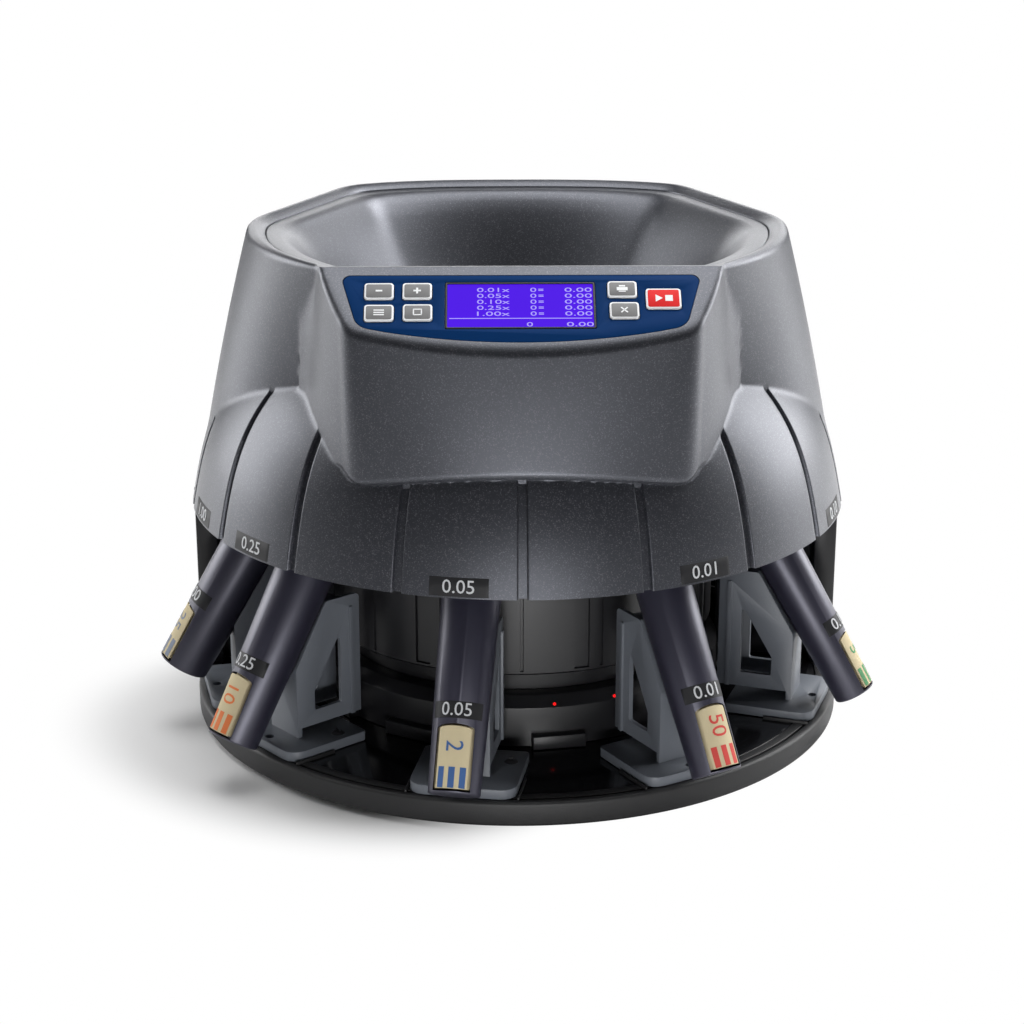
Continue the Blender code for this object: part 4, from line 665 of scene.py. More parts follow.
FINISHES: dict[str, Finish | Glow] = {
    # The housing's bright flecks are painted glints for the sparkle of its plastic.
    "housing": Finish("grained_grey", (0.015, 0.016, 0.020), 0.38, grain=2200, grain_depth=0.00006,
                      painted_glint=0.15, variation=0.03, roughness_spread=0.03, specular=1.0,
                      specular_tint=(0.86, 0.89, 1.00)),
    "black": Finish("satin_black", (0.014, 0.014, 0.016), 0.34, grain=1600, grain_depth=0.00005,
                    variation=0.10),
    "tray_edge": Finish("tray_edge_black", (0.017, 0.017, 0.018), 0.52, grain=1400,
                        grain_depth=0.00008, variation=0.06),
    "tray": Finish("tray_gloss_black", (0.006, 0.006, 0.007), 0.12, variation=0.10,
                   roughness_spread=0.03, coat=0.3),
    "bracket": Finish("bracket_grey", (0.140, 0.153, 0.176), 0.44, grain=1300,
                      grain_depth=0.00006, variation=0.05),
    "tube": Finish("tube_blue_black", (0.020, 0.019, 0.033), 0.40, variation=0.10, specular=1.0,
                   specular_tint=(0.86, 0.86, 1.00),
                   roughness_spread=0.03, grain=300, grain_depth=0.00002),
    "paper": Finish("wrapper_paper", (0.560, 0.480, 0.310), 0.85, grain=900, grain_depth=0.00010,
                    variation=0.07, variation_scale=120, stretch=(1.0, 1.0, 0.3), specular=0.25),
    "panel": Finish("panel_blue", (0.000, 0.029, 0.122), 0.60, grain=900, grain_depth=0.00003,
                    variation=0.04, specular=0.04),
    "key": Finish("key_grey", (0.165, 0.164, 0.166), 0.55, grain=1200, grain_depth=0.00004),
    "key_red": Finish("key_red", (0.760, 0.014, 0.015), 0.60, grain=1200, grain_depth=0.00004,
                      specular=0.15),
    "ink_white": Finish("ink_white", (0.860, 0.870, 0.880), 0.50, grain=900, grain_depth=0.00002),
    "ink_grey": Finish("ink_grey", (0.560, 0.570, 0.590), 0.55, grain=900, grain_depth=0.00002),
    "label": Finish("label_black", (0.020, 0.020, 0.022), 0.50, grain=1100, grain_depth=0.00004,
                    specular=0.25),
    "bezel": Finish("bezel_black", (0.008, 0.008, 0.010), 0.30, grain=900, grain_depth=0.00003),
    "board": Finish("board_green", (0.010, 0.110, 0.040), 0.45, grain=700, grain_depth=0.00010),
    "steel": Finish("brushed_steel", (0.520, 0.530, 0.540), 0.32, metallic=1.0, grain=500,
                    grain_depth=0.00004, stretch=(1.0, 1.0, 12.0), anisotropic=0.4),
    "rubber": Finish("rubber", (0.016, 0.016, 0.016), 0.88, grain=1200, grain_depth=0.00015),
    "gear": Finish("gear_white", (0.700, 0.700, 0.660), 0.50, grain=900, grain_depth=0.00005),
    "pocket": Finish("pocket_black", (0.004, 0.004, 0.005), 0.60, grain=900, grain_depth=0.00005),
    "display": Glow("display_violet", (0.074, 0.003, 0.800), 1.0),
    "digits": Glow("display_digits", (0.460, 0.380, 1.000), 1.0),
    "lamp": Glow("lamp_red", (0.900, 0.010, 0.010), 1.6),
}
STRIPES: dict[str, tuple[str, Colour]] = {
    "100": ("grey_blue", (0.200, 0.230, 0.300)), "025": ("orange", (0.640, 0.170, 0.050)),
    "005": ("blue", (0.040, 0.105, 0.280)), "001": ("red", (0.560, 0.060, 0.050)),
    "010": ("green", (0.090, 0.270, 0.120))}
FINISHES.update({f"stripe_{key}": Finish(f"stripe_{name}", colour, 0.80, grain=900,
                                         grain_depth=0.00006)
                 for key, (name, colour) in STRIPES.items()})
MADE: dict[str, bpy.types.Material] = {}


def finish(name: str) -> bpy.types.Material:
    """Give a finish's material, made once.

    Args:
        name: The finish's key.

    Returns:
        The material.
    """
    if name not in MADE:
        MADE[name] = FINISHES[name].make()
    return MADE[name]


def dress(piece: bpy.types.Object, coat: str, body: str, slot: Paint,
          replaces: Sequence[str] = ()) -> bpy.types.Object:
    """Give a piece its finish and its body.

    Args:
        piece: The piece to dress.
        coat: The finish's name.
        body: The body that the piece rides on.
        slot: Not used.
        replaces: The CAD nodes that the piece stands for.

    Returns:
        The dressed piece.
    """
    piece.data.materials.clear()
    piece.data.materials.append(finish(coat))
    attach(piece, body)
    if replaces:
        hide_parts(*replaces)
    LOG.info("%s rides on %s", piece.name, body)
    return piece


def refined(node: str, name: str, coat: str, body: str, slot: Paint, bevel: float = 0.0004,
            angle: float = 30) -> bpy.types.Object:
    """Stand in for a CAD node with a copy whose edges are rounded.

    Args:
        node: The CAD node's name.
        name: The new piece's name.
        coat: The finish's name.
        body: The body that the piece rides on.
        slot: The record's material slot.
        bevel: The width of the rounding.
        angle: The least angle of an edge that is rounded, in degrees.

    Returns:
        The new piece.
    """
    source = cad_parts[node]
    piece = bpy.data.objects.new(name, source.data.copy())
    bpy.context.scene.collection.objects.link(piece)
    piece.data.name = name
    activate(piece)
    bpy.ops.object.mode_set(mode="EDIT")
    bpy.ops.mesh.select_all(action="SELECT")
    bpy.ops.mesh.remove_doubles(threshold=0.00002)
    bpy.ops.mesh.dissolve_limited(angle_limit=radians(1.5))
    bpy.ops.object.mode_set(mode="OBJECT")
    soften(piece, bevel, angle)
    return dress(piece, coat, body, slot, (node,))


@dataclass
class Panel:
    """The frame of the sloping panel, which the console's pieces are built in."""

    edge_y: float = -0.1130
    rim_top: float = 0.2660
    rise: float = 31 / 42

    def matrix(self) -> Matrix:
        """Give the frame: X across, Y up the slope, Z out of it."""
        place = Matrix.Translation((0, self.edge_y, self.rim_top))
        return place @ Matrix.Rotation(atan(self.rise), 4, "X")

    def lay(self, piece: bpy.types.Object, x: float = 0.0, down: float = 0.0) -> bpy.types.Object:
        """Lay a flat piece on the slope at a distance across and down.

        Args:
            piece: The flat piece.
            x: How far across it goes.
            down: How far down the slope it goes.

        Returns:
            The same piece, in its place.
        """
        piece.data.transform(self.matrix() @ Matrix.Translation((x, -down, 0)))
        piece.data.update()
        return piece


@dataclass
class Housing:
    """The moulded upper housing as one fine skin.

    The skirt, the body and the console are each a radius at an azimuth and a level. The
    skin is their soft union, so the creases between them are filled as in a moulding.
    """

    skirt_radius: float = 0.1770
    skirt_bottom: float = 0.1186
    skirt_arc: float = 0.1050
    skirt_top: float = 0.2020
    skirt_dip: float = 0.0024
    rim_top: float = 0.2660
    half_low: float = 0.1747
    half_top: float = 0.1425
    front_low: float = 0.1180
    front_top: float = 0.1600
    flare_share: float = 0.35
    front_limit: float = 0.1145
    centre_top: float = 0.0050
    back_low: float = 0.1515
    back_top: float = 0.1285
    corner_turn: float = radians(24)
    corner_share: float = 0.04
    bulge: float = 0.0020
    rear_flat: float = 0.1525
    wall: float = 0.0032
    console_wall: float = 0.0065
    slot_width: float = 0.0048
    slot_depth: float = 0.0024
    slot_pitch: float = 20.0
    slot_reach: int = 5
    crease_body: float = 0.0110
    crease_skirt: float = 0.0010
    lip_level: float = 0.1729
    lip_bow: float = 1.22
    lip_reach: float = 0.1650
    lip_round: float = 0.0042
    lip_corner: tuple[float, float, float] = (0.0740, 0.0150, 0.0080)
    edge_round: float = 0.0040
    lip_under: float = 6
    console_low_z: float = 0.1480
    low_outline: tuple[float, ...] = (0.0975, -0.1655, 0.1900, 0.0170, 0.0400, 0.4360)
    high_outline: tuple[float, ...] = (0.0945, -0.1553, 0.3540, 0.0130, 0.0200, 0.3027)
    skirt_step: float = 0.0032
    row_bands: tuple[tuple[float, float], ...] = (
        (0.1600, 0.0007), (0.1765, 0.0014), (0.2040, 0.0029), (0.2300, 0.0010))
    rim_start: float = 0.2626
    rim_draw: float = 0.0035
    rim_steps: int = 8
    flange: tuple[tuple[float, float], ...] = (
        (0.0048, 0.2658), (0.0070, 0.2644), (0.0088, 0.2632), (0.0092, 0.2627),
        (0.0093, 0.2610), (0.0093, 0.2598), (0.0132, 0.2596), (0.0132, 0.2566))
    inner_levels: tuple[float, ...] = (0.2560, 0.2500, 0.2420, 0.2300, 0.2180, 0.2050, 0.1950,
                                       0.1850, 0.1750, 0.1600, 0.1400)
    console_wall_from: float = 0.2200
    column_step: float = 0.72
    search_steps: int = 40
    search_limit: float = 0.30
    corner_round: float = 0.0060
    rear_round: float = 0.0015
    slot_fade: float = 0.0015
    crease_fade: tuple[float, float] = (0.258, 0.030)
    inside: float = 0.02
    panel: Panel = field(default_factory=Panel)

    def azimuths(self) -> np.ndarray:
        """Give the grid's azimuths, closer together beside each slot.

        Returns:
            The azimuths in radians, from the least.
        """
        turns = set(np.round(np.arange(0, 360, self.column_step), 4))
        edges = (0.5, *SLOT_SHARES[1:])
        for k in range(-self.slot_reach, self.slot_reach + 1):
            for share in (*edges, *(-edge for edge in edges)):
                offset = degrees(share * self.slot_width / 2 / self.skirt_radius)
                turns.add(round((k * self.slot_pitch + offset) % 360, 4))
        return np.radians(np.array(sorted(turns)))

    def skirt(self, z: np.ndarray) -> np.ndarray:
        """Give the skirt's radius at levels.

        Args:
            z: The levels.

        Returns:
            The radius at each level.
        """
        rise = np.clip(z - self.skirt_bottom, 0, self.skirt_arc)
        share = np.minimum(rise / (self.skirt_top - self.skirt_bottom), 1)
        dip = self.skirt_dip * 6.75 * share * (1 - share) ** 2
        return self.skirt_radius - self.skirt_arc + np.sqrt(self.skirt_arc ** 2 - rise ** 2) - dip

    def body(self, turn: np.ndarray, z: float, inset: float = 0.0) -> np.ndarray:
        """Give the body's radius at azimuths, at one level.

        Args:
            turn: Azimuths from -Y, in radians.
            z: The level.
            inset: How far inside the outer surface.

        Returns:
            The radius at each azimuth.
        """
        t = (z - self.skirt_bottom) / (self.rim_top - self.skirt_bottom)
        flare = max(t - self.flare_share, 0) / (1 - self.flare_share)
        half = self.half_low + (self.half_top - self.half_low) * t
        half += self.bulge * 4 * t * (1 - t) - inset
        front = self.front_low + (self.front_top - self.front_low) * flare ** 2 - inset
        back = self.back_low + (self.back_top - self.back_low) * t - inset
        power = 2.0 + 0.8 * t
        centre = self.centre_top * t
        low = np.zeros_like(turn)
        high = np.full_like(turn, self.search_limit)
        for _ in range(self.search_steps):
            radius = (low + high) / 2
            x = radius * np.sin(turn)
            y = -radius * np.cos(turn) - centre
            ahead = y < 0
            reach = np.where(ahead, (np.abs(x) / half) ** 2 + (y / front) ** 2,
                             (np.abs(x) / half) ** power + (np.abs(y) / back) ** power)
            high = np.where(reach > 1, radius, high)
            low = np.where(reach > 1, low, radius)
        limit = (self.front_limit - inset) / np.maximum(np.cos(turn), 0.01)
        radius = np.minimum(radius, np.where(np.cos(turn) > 0.01, limit, 1.0))
        corner = (half + inset) * (1 - self.corner_share * t) - inset
        lean = np.abs(np.sin(turn)) * cos(self.corner_turn) - np.cos(turn) * sin(self.corner_turn)
        slant = np.where(np.cos(turn) < 0, corner / np.maximum(lean, 0.1), 1.0)
        return self.soft_min(radius, slant, self.corner_round * max(t, 0.02))

    def outline(self, side: float, front: float, bow: float, corner: float, back: float,
                taper: float) -> list[tuple[float, float]]:
        """Give half of one plan outline of the console, from its back to the front.

        Args:
            side: The half width beside the panel's upper edge.
            front: The foremost level on the middle line.
            bow: The radius of the shallow front arc.
            corner: The radius of the corner.
            back: How far the side runs back from the panel's edge.
            taper: How the half width grows towards the back.

        Returns:
            The points of the right half.
        """
        edge = self.panel.edge_y
        behind = Vector((side, edge)) + Vector((taper, 1)).normalized() * back
        meet_x = side
        for _ in range(8):
            meet_y = front + meet_x ** 2 / (bow * 2)
            meet_x = side + (meet_y - edge) * taper
        arc_end = meet_x * 0.6
        ahead = Vector((arc_end, front + arc_end ** 2 / (bow * 2)))
        turn = rounded_profile([(behind.x, behind.y, 0), (meet_x, meet_y, corner),
                                (ahead.x, ahead.y, 0)], 10)
        last = turn[-2][0]
        arc = [(last * k / 12, front + (last * k / 12) ** 2 / (bow * 2)) for k in range(11, -1, -1)]
        return turn[:-1] + arc

    def console(self, turn: np.ndarray, z: float) -> np.ndarray:
        """Give the console's radius at azimuths, at one level, cut by the sloping panel.

        Args:
            turn: Azimuths from -Y, in radians.
            z: The level.

        Returns:
            The radius at each azimuth, well inside the skin where the console doesn't reach.
        """
        edge, rise, top = self.panel.edge_y, self.panel.rise, self.rim_top
        low, high = self.outline(*self.low_outline), self.outline(*self.high_outline)
        angles: list[float] = []
        radii: list[float] = []
        for (ax, ay), (bx, by) in zip(low, high):
            level = top + (by - edge) * rise
            share = (z - self.console_low_z) / (level - self.console_low_z)
            x = ax + (bx - ax) * share
            y = ay + (by - ay) * share
            angles.append(atan2(x, -y))
            radii.append(sqrt(x * x + y * y))
        order = np.argsort(angles)
        found = np.interp(np.abs(turn), np.array(angles)[order], np.array(radii)[order])
        found = np.where(np.abs(turn) > max(angles), self.inside, found)
        slope = (-edge + (top - z) / rise) / np.maximum(np.cos(turn), 0.2)
        found = self.soft_min(found, slope, self.edge_round)
        across = np.abs(self.lip_reach * np.sin(turn))
        start, width, climb = self.lip_corner
        lip = self.lip_level - self.lip_bow * across ** 2
        lip = lip + climb * np.clip((across - start) / width, 0, 1) ** 2
        fall = (lip + self.lip_round - z) / self.lip_round
        drawn = self.lip_round * (1 - np.sqrt(1 - np.clip(fall, 0, 1) ** 2))
        under = np.maximum(fall - 1, 0) * self.lip_round * self.lip_under
        return np.maximum(found - drawn - under, self.inside)

    @staticmethod
    def soft_max(a: np.ndarray, b: np.ndarray, width: float) -> np.ndarray:
        """Give the greater of two radii, with the crease between them filled."""
        near = np.maximum(width - np.abs(a - b), 0) / width
        return np.maximum(a, b) + near * near * width / 4

    @staticmethod
    def soft_min(a: np.ndarray, b: np.ndarray, width: float) -> np.ndarray:
        """Give the lesser of two radii, with the edge between them rounded."""
        near = np.maximum(width - np.abs(a - b), 0) / width
        return np.minimum(a, b) - near * near * width / 4

    def outer(self, turn: np.ndarray, z: float, inset: float = 0.0) -> np.ndarray:
        """Give the skin's outer radius at azimuths, at one level.

        Args:
            turn: Azimuths from -Y, in radians, between minus and plus a half turn.
            z: The level.
            inset: How far the rim's crest has drawn in.

        Returns:
            The radius at each azimuth.
        """
        body = self.body(turn, z, inset)
        console = self.console(turn, z)
        faded, width = self.crease_fade
        fade = min(max((faded - z) / width, 0.05), 1.0)
        upper = self.soft_max(body, console, self.crease_body * fade)
        skirt = np.full_like(turn, float(self.skirt(np.array(z))))
        skin = self.soft_max(upper, skirt, self.crease_skirt)
        skin = skin - self.slots(turn) * np.clip((skirt - upper) / self.slot_fade, 0, 1)
        rear = self.rear_flat / np.maximum(-np.cos(turn), 0.05)
        return self.soft_min(skin, np.where(np.cos(turn) < -0.05, rear, 1.0), self.rear_round)

    def slots(self, turn: np.ndarray) -> np.ndarray:
        """Give how deep the slots between the skirt's segments are at azimuths.

        Args:
            turn: The azimuths in radians.

        Returns:
            The depth at each azimuth.
        """
        depth = np.zeros_like(turn)
        for k in range(-self.slot_reach, self.slot_reach + 1):
            away = np.abs(turn - radians(k * self.slot_pitch)) * self.skirt_radius
            shape = np.interp(away / (self.slot_width / 2), SLOT_SHARES, SLOT_DEPTH_SHARES)
            depth = np.maximum(depth, shape * self.slot_depth)
        return depth

    def rows(self, turn: np.ndarray) -> list[tuple[np.ndarray, np.ndarray]]:
        """Give the rows of the skin, up the outside, over the rim and down the inside.

        Args:
            turn: The grid's azimuths in radians.

        Returns:
            Pairs of radii and levels, one pair for each row.
        """
        flat = np.ones_like(turn)
        rows: list[tuple[np.ndarray, np.ndarray]] = []
        starts = ((self.skirt_bottom, self.skirt_step), *self.row_bands)
        ends = [start for start, _ in self.row_bands] + [self.rim_start]
        bands = [np.arange(start, end, step) for (start, step), end in zip(starts, ends)]
        for z in np.concatenate(bands):
            rows.append((self.outer(turn, float(z)), flat * z))
        for k in range(1, self.rim_steps + 1):
            angle = pi / 2 * k / self.rim_steps
            z = self.rim_start + (self.rim_top - self.rim_start) * sin(angle)
            rows.append((self.outer(turn, z, self.rim_draw * (1 - cos(angle))), flat * z))
        for inset, z in self.flange:
            rows.append((self.body(turn, self.rim_top, inset), flat * z))
        for z in (*self.inner_levels, self.skirt_bottom):
            wall = self.console_wall if z > self.console_wall_from else self.wall
            rows.append((self.outer(turn, z) - wall, flat * z))
        return rows

    def build(self) -> bpy.types.Object:
        """Build the skin as one closed grid.

        Returns:
            The housing's piece.
        """
        turns = self.azimuths()
        signed = np.where(turns > pi, turns - 2 * pi, turns)
        rows = self.rows(signed)
        sines, cosines = np.sin(turns), np.cos(turns)

        def place(i: int, j: int) -> tuple[float, float, float]:
            """Give the point of a column and a row."""
            radius = rows[j][0][i]
            return radius * sines[i], -radius * cosines[i], rows[j][1][i]

        return bent_grid("housing_shell", len(turns), len(rows), place, looped=True)


@dataclass
class Console:
    """The panel plate, the display and the keys."""

    panel: Panel = field(default_factory=Panel)
    half_width: float = 0.0865
    top: float = 0.0055
    side_fall: float = 0.0086
    front_down: float = 0.0469
    bow: float = 0.3200
    thickness: float = 0.0015
    key_clear: float = 0.0004
    window_clear: float = 0.0002
    window_corner: float = 0.0008
    seat: float = 0.0003
    hole_depth: float = 0.0160
    hole_levels: tuple[float, float] = (-0.0050, 0.0050)
    recess_high: float = 0.0060
    plate_high: float = 0.0001
    top_round: float = 0.0040
    low_round: float = 0.0095
    arc_share: float = 0.6
    key_corner: float = 0.0018
    frame_levels: tuple[float, float] = (-0.0018, 0.0002)
    frame_hole_levels: tuple[float, float] = (-0.0006, 0.0060)
    frame_wall: float = 0.0008
    frame_edge: float = 0.00015
    field_inset: float = 0.0009
    field_corner: float = 0.0006
    field_levels: tuple[float, float] = (-0.0005, -0.0002)
    rim_corner: float = 0.0016
    rim_levels: tuple[float, float] = (-0.0040, 0.0009)
    rim_edge: float = 0.00035
    face_inset: float = 0.0009
    face_corner: float = 0.0010
    face_levels: tuple[float, float] = (0.0006, 0.00105)
    face_edge: float = 0.00010
    symbol_levels: tuple[float, float] = (0.00095, 0.00112)
    window_place: tuple[float, float] = (-0.0006, 0.0243)
    window_size: tuple[float, float] = (0.0712, 0.0285)
    key_size: tuple[float, float] = (0.0140, 0.0100)
    start_size: tuple[float, float] = (0.0168, 0.0124)
    first_row: float = 0.0098
    row_pitch: float = 0.0037
    total_row: float = -0.0116
    numeral: float = 0.0026
    columns: tuple[tuple[float, float], ...] = ((-0.0206, -0.0051), (0.0048, 0.0077),
                                                (0.0212, 0.0342))
    total_columns: tuple[tuple[float, float], ...] = ((0.0029, 0.0058), (0.0218, 0.0346))
    dash_x: float = 0.0099
    dash_size: tuple[float, float, float] = (0.0024, 0.0004, 0.0001)
    rule_inset: float = 0.0036
    ink_z: float = -0.00015
    edge_angle: float = 40
    keys: dict[str, tuple[float, float]] = field(default_factory=lambda: {
        "minus_key": (-0.0679, 0.0158), "plus_key": (-0.0497, 0.0158),
        "mode_key": (-0.0677, 0.0293), "set_key": (-0.0494, 0.0291),
        "print_key": (0.0481, 0.0150), "clear_key": (0.0487, 0.0281),
        "start_key": (0.0676, 0.0209)})

    def outline(self, grow: float = 0.0) -> list[tuple[float, float]]:
        """Give the panel plate's outline in the panel's frame.

        Args:
            grow: How much larger than the plate it is, all round.

        Returns:
            The outline's points, in order.
        """
        low_x = self.half_width - self.side_fall + grow
        front = -self.front_down - grow
        low_y = front + low_x ** 2 / (self.bow * 2)
        arc_x = low_x * self.arc_share
        arc_y = front + arc_x ** 2 / (self.bow * 2)
        top = (self.half_width + grow, -self.top + grow)
        half = rounded_profile([(0, top[1], 0), (*top, self.top_round),
                                (low_x, low_y, self.low_round), (arc_x, arc_y, 0)], 8)[1:-1]
        last = half[-1][0]
        half += [(last * k / 10, front + (last * k / 10) ** 2 / (self.bow * 2))
                 for k in range(9, -1, -1)]
        return half + [(-x, y) for x, y in reversed(half[:-1])]

    def size_of(self, name: str) -> tuple[float, float]:
        """Give a key's width and height."""
        return self.start_size if name == "start_key" else self.key_size

    def openings(self, for_key: object, for_window: object
                 ) -> list[tuple[tuple[float, float], tuple[float, float], object]]:
        """Give each opening's place and size, with a value for the keys or for the window."""
        keys = [(place, self.size_of(name), for_key) for name, place in self.keys.items()]
        return keys + [(self.window_place, self.window_size, for_window)]

    def cut_housing(self, shell: bpy.types.Object) -> None:
        """Cut the panel's recess and the openings for the keys and the display.

        Args:
            shell: The housing's shell.
        """
        recess = plate("recess", self.outline(self.seat), -self.thickness - self.seat,
                       self.recess_high)
        carve(shell, self.panel.lay(recess))
        holes = []
        for place, (wide, tall), clear in self.openings(self.key_clear, self.window_clear):
            size = (wide + clear * 2, tall + clear * 2, self.hole_depth)
            hole = block("hole", size, (0, 0, -self.hole_depth / 8))
            holes.append(self.panel.lay(hole, *place))
        carve(shell, joined(holes, "holes"))

    def fit(self, piece: bpy.types.Object, place: tuple[float, float], coat: str, body: str,
            slot: Paint, replaces: Sequence[str] = (), edge: float = 0.0, segments: int = 2
            ) -> None:
        """Round a flat piece's edges, lay it on the panel and dress it.

        Args:
            piece: The piece, about the origin.
            place: How far across and down the panel it lies.
            coat: The finish's name.
            body: The body that the piece rides on.
            slot: The record's material slot.
            replaces: The CAD nodes that the piece stands for.
            edge: The width of the rounding, or zero for none.
            segments: How many faces round each edge.
        """
        if edge > 0:
            soften(piece, edge, self.edge_angle, segments)
        self.panel.lay(piece, *place)
        dress(piece, coat, body, slot, replaces)

    def build(self) -> None:
        """Build and dress every piece of the console."""
        self.build_plate()
        self.build_display()
        for name in self.keys:
            self.build_key(name)

    def build_plate(self) -> None:
        """Build the blue plate with its openings and a fine rounded edge."""
        sheet = plate("panel_plate", self.outline(), -self.thickness, self.plate_high)
        holes = []
        edges = self.openings((self.key_clear, self.key_corner), (self.seat, self.window_corner))
        for (x, down), size, (grow, corner) in edges:
            hole = tablet("hole", size, grow, corner, self.hole_levels)
            hole.data.transform(Matrix.Translation((x, -down, 0)))
            holes.append(hole)
        carve(sheet, joined(holes, "holes"))
        self.fit(sheet, (0, 0), "panel", "base", Paint.PANEL, ("control_panel",), self.seat)

    def build_display(self) -> None:
        """Build the display: a black frame, a lit field and rows of plain numerals."""
        size, place = self.window_size, self.window_place
        border = tablet("display_frame", size, 0, self.window_corner, self.frame_levels)
        carve(border, tablet("hole", size, -self.frame_wall, self.field_corner,
                             self.frame_hole_levels))
        self.fit(border, place, "pocket", "base", Paint.DISPLAY, ("display_window",),
                 self.frame_edge)
        glass = tablet("display_field", size, -self.field_inset, self.field_corner,
                       self.field_levels)
        self.fit(glass, place, "display", "base", Paint.DISPLAY)
        pieces = []
        for k, value in enumerate(sorted(VALUES.values())):
            level = self.first_row - k * self.row_pitch
            for words, column in zip((f"{value}x", "0", "0.00"), self.columns):
                pieces.append(self.fitted(words, *column, level))
            for side in (-1, 1):
                centre = (self.dash_x, level + side * self.dash_size[1], self.ink_z)
                pieces.append(block("dash", self.dash_size, centre))
        for words, column in zip(("0", "0.00"), self.total_columns):
            pieces.append(self.fitted(words, *column, self.total_row))
        pieces.append(block("rule", (size[0] - self.rule_inset, *self.dash_size[1:]),
                            (0, self.total_row + self.row_pitch, self.ink_z)))
        digits = joined(pieces, "display_digits")
        self.fit(digits, place, "digits", "base", Paint.DISPLAY)

    def fitted(self, words: str, left: float, right: float, level: float) -> bpy.types.Object:
        """Make numerals that fill a column of the display.

        Args:
            words: The numerals.
            left: The column's left edge.
            right: The column's right edge.
            level: The row's middle.

        Returns:
            The numerals on the display's field.
        """
        text = lettering("display_row", words, 0.0040, 0.0001)
        places = [vert.co for vert in text.data.vertices]
        low = Vector((min(place.x for place in places), min(place.y for place in places)))
        high = Vector((max(place.x for place in places), max(place.y for place in places)))
        text.data.transform(Matrix.Translation((-low.x, -(low.y + high.y) / 2, 0)))
        text.data.transform(Matrix.Diagonal(((right - left) / (high.x - low.x),
                                             self.numeral / (high.y - low.y), 1, 1)))
        text.data.transform(Matrix.Translation((left, level, self.ink_z)))
        return text

    def build_key(self, name: str) -> None:
        """Build a key: a white rounded body, a coloured face and a plain symbol.

        Args:
            name: The key's CAD node and body.
        """
        place, size = self.keys[name], self.size_of(name)
        red = name == "start_key"
        slot = Paint.KEY_RED if red else Paint.KEY
        rim = tablet(f"{name}_border", size, 0, self.rim_corner, self.rim_levels, 6)
        self.fit(rim, place, "ink_white", name, slot, (name,), self.rim_edge, 3)
        face = tablet(f"{name}_face", size, -self.face_inset, self.face_corner,
                      self.face_levels, 6)
        self.fit(face, place, "key_red" if red else "key", name, slot, edge=self.face_edge)
        symbol = joined(self.symbol(name), f"{name}_symbol")
        self.fit(symbol, place, "ink_white", name, slot)

    def symbol(self, name: str) -> list[bpy.types.Object]:
        """Give the flat shapes of a key's plain symbol.

        Args:
            name: The key's name.

        Returns:
            Thin pieces just above the key's face.
        """
        low, high = self.symbol_levels
        pieces = []
        if name == "start_key":
            pieces.append(plate("bar", ARROW, low, high))
        for wide, tall, x, y, turn in SYMBOL_BARS[name]:
            bar = block("bar", (wide, tall, high - low), (x, y, (low + high) / 2))
            bar.data.transform(Matrix.Rotation(radians(turn), 4, "Z"))
            pieces.append(bar)
        return pieces


@dataclass
class Hopper:
    """The hopper bowl with its flange, ledge and neck."""

    housing: Housing
    neck_radius: float = 0.0800
    neck_low: float = 0.1887
    neck_high: float = 0.1962
    ledge_z: float = 0.2622
    wall: float = 0.0028
    columns: int = 240
    ledge_inset: float = 0.0178
    outer_flange: tuple[float, float] = (0.0136, 0.2599)
    flange: tuple[tuple[float, float], ...] = (
        (0.0098, 0.2599), (0.0098, 0.2622), (0.0102, 0.2625), (0.0110, 0.2626),
        (0.0168, 0.2624), (0.0174, 0.2622))
    fall_shares: tuple[tuple[float, float], ...] = (
        (0.03, 0.008), (0.08, 0.03), (0.16, 0.08), (0.27, 0.18), (0.38, 0.29), (0.50, 0.42),
        (0.62, 0.55), (0.74, 0.68), (0.86, 0.80), (0.94, 0.91), (1.0, 1.0))

    def build(self) -> None:
        """Build the bowl as one closed grid, inside down and outside up."""
        turns = np.array([2 * pi * i / self.columns for i in range(self.columns)])
        signed = np.where(turns > pi, turns - 2 * pi, turns)
        top = self.housing.rim_top
        ledge = self.housing.body(signed, top, self.ledge_inset)
        rows = [(self.housing.body(signed, top, inset), z) for inset, z in self.flange]
        fall = self.ledge_z - self.neck_high
        for across, down in self.fall_shares:
            radius = ledge + (self.neck_radius - ledge) * across
            rows.append((radius, self.ledge_z - fall * down))
        flat = np.ones_like(turns)
        rows.append((flat * self.neck_radius, self.neck_low))
        rows.append((flat * (self.neck_radius + self.wall), self.neck_low))
        for across, down in reversed(self.fall_shares[2:]):
            radius = ledge + (self.neck_radius + self.wall - ledge) * across
            rows.append((radius, self.ledge_z - fall * down - self.wall))
        inset, z = self.outer_flange
        rows.append((self.housing.body(signed, top, inset), z))

        def place(i: int, j: int) -> tuple[float, float, float]:
            """Give the point of a column and a row."""
            radius, z = rows[j][0][i], rows[j][1]
            return radius * sin(turns[i]), -radius * cos(turns[i]), z

        piece = bent_grid("hopper_bowl_shell", self.columns, len(rows), place, looped=True)
        shade(piece, 40)
        dress(piece, "housing", "base", Paint.HOUSING, ("hopper_bowl",))


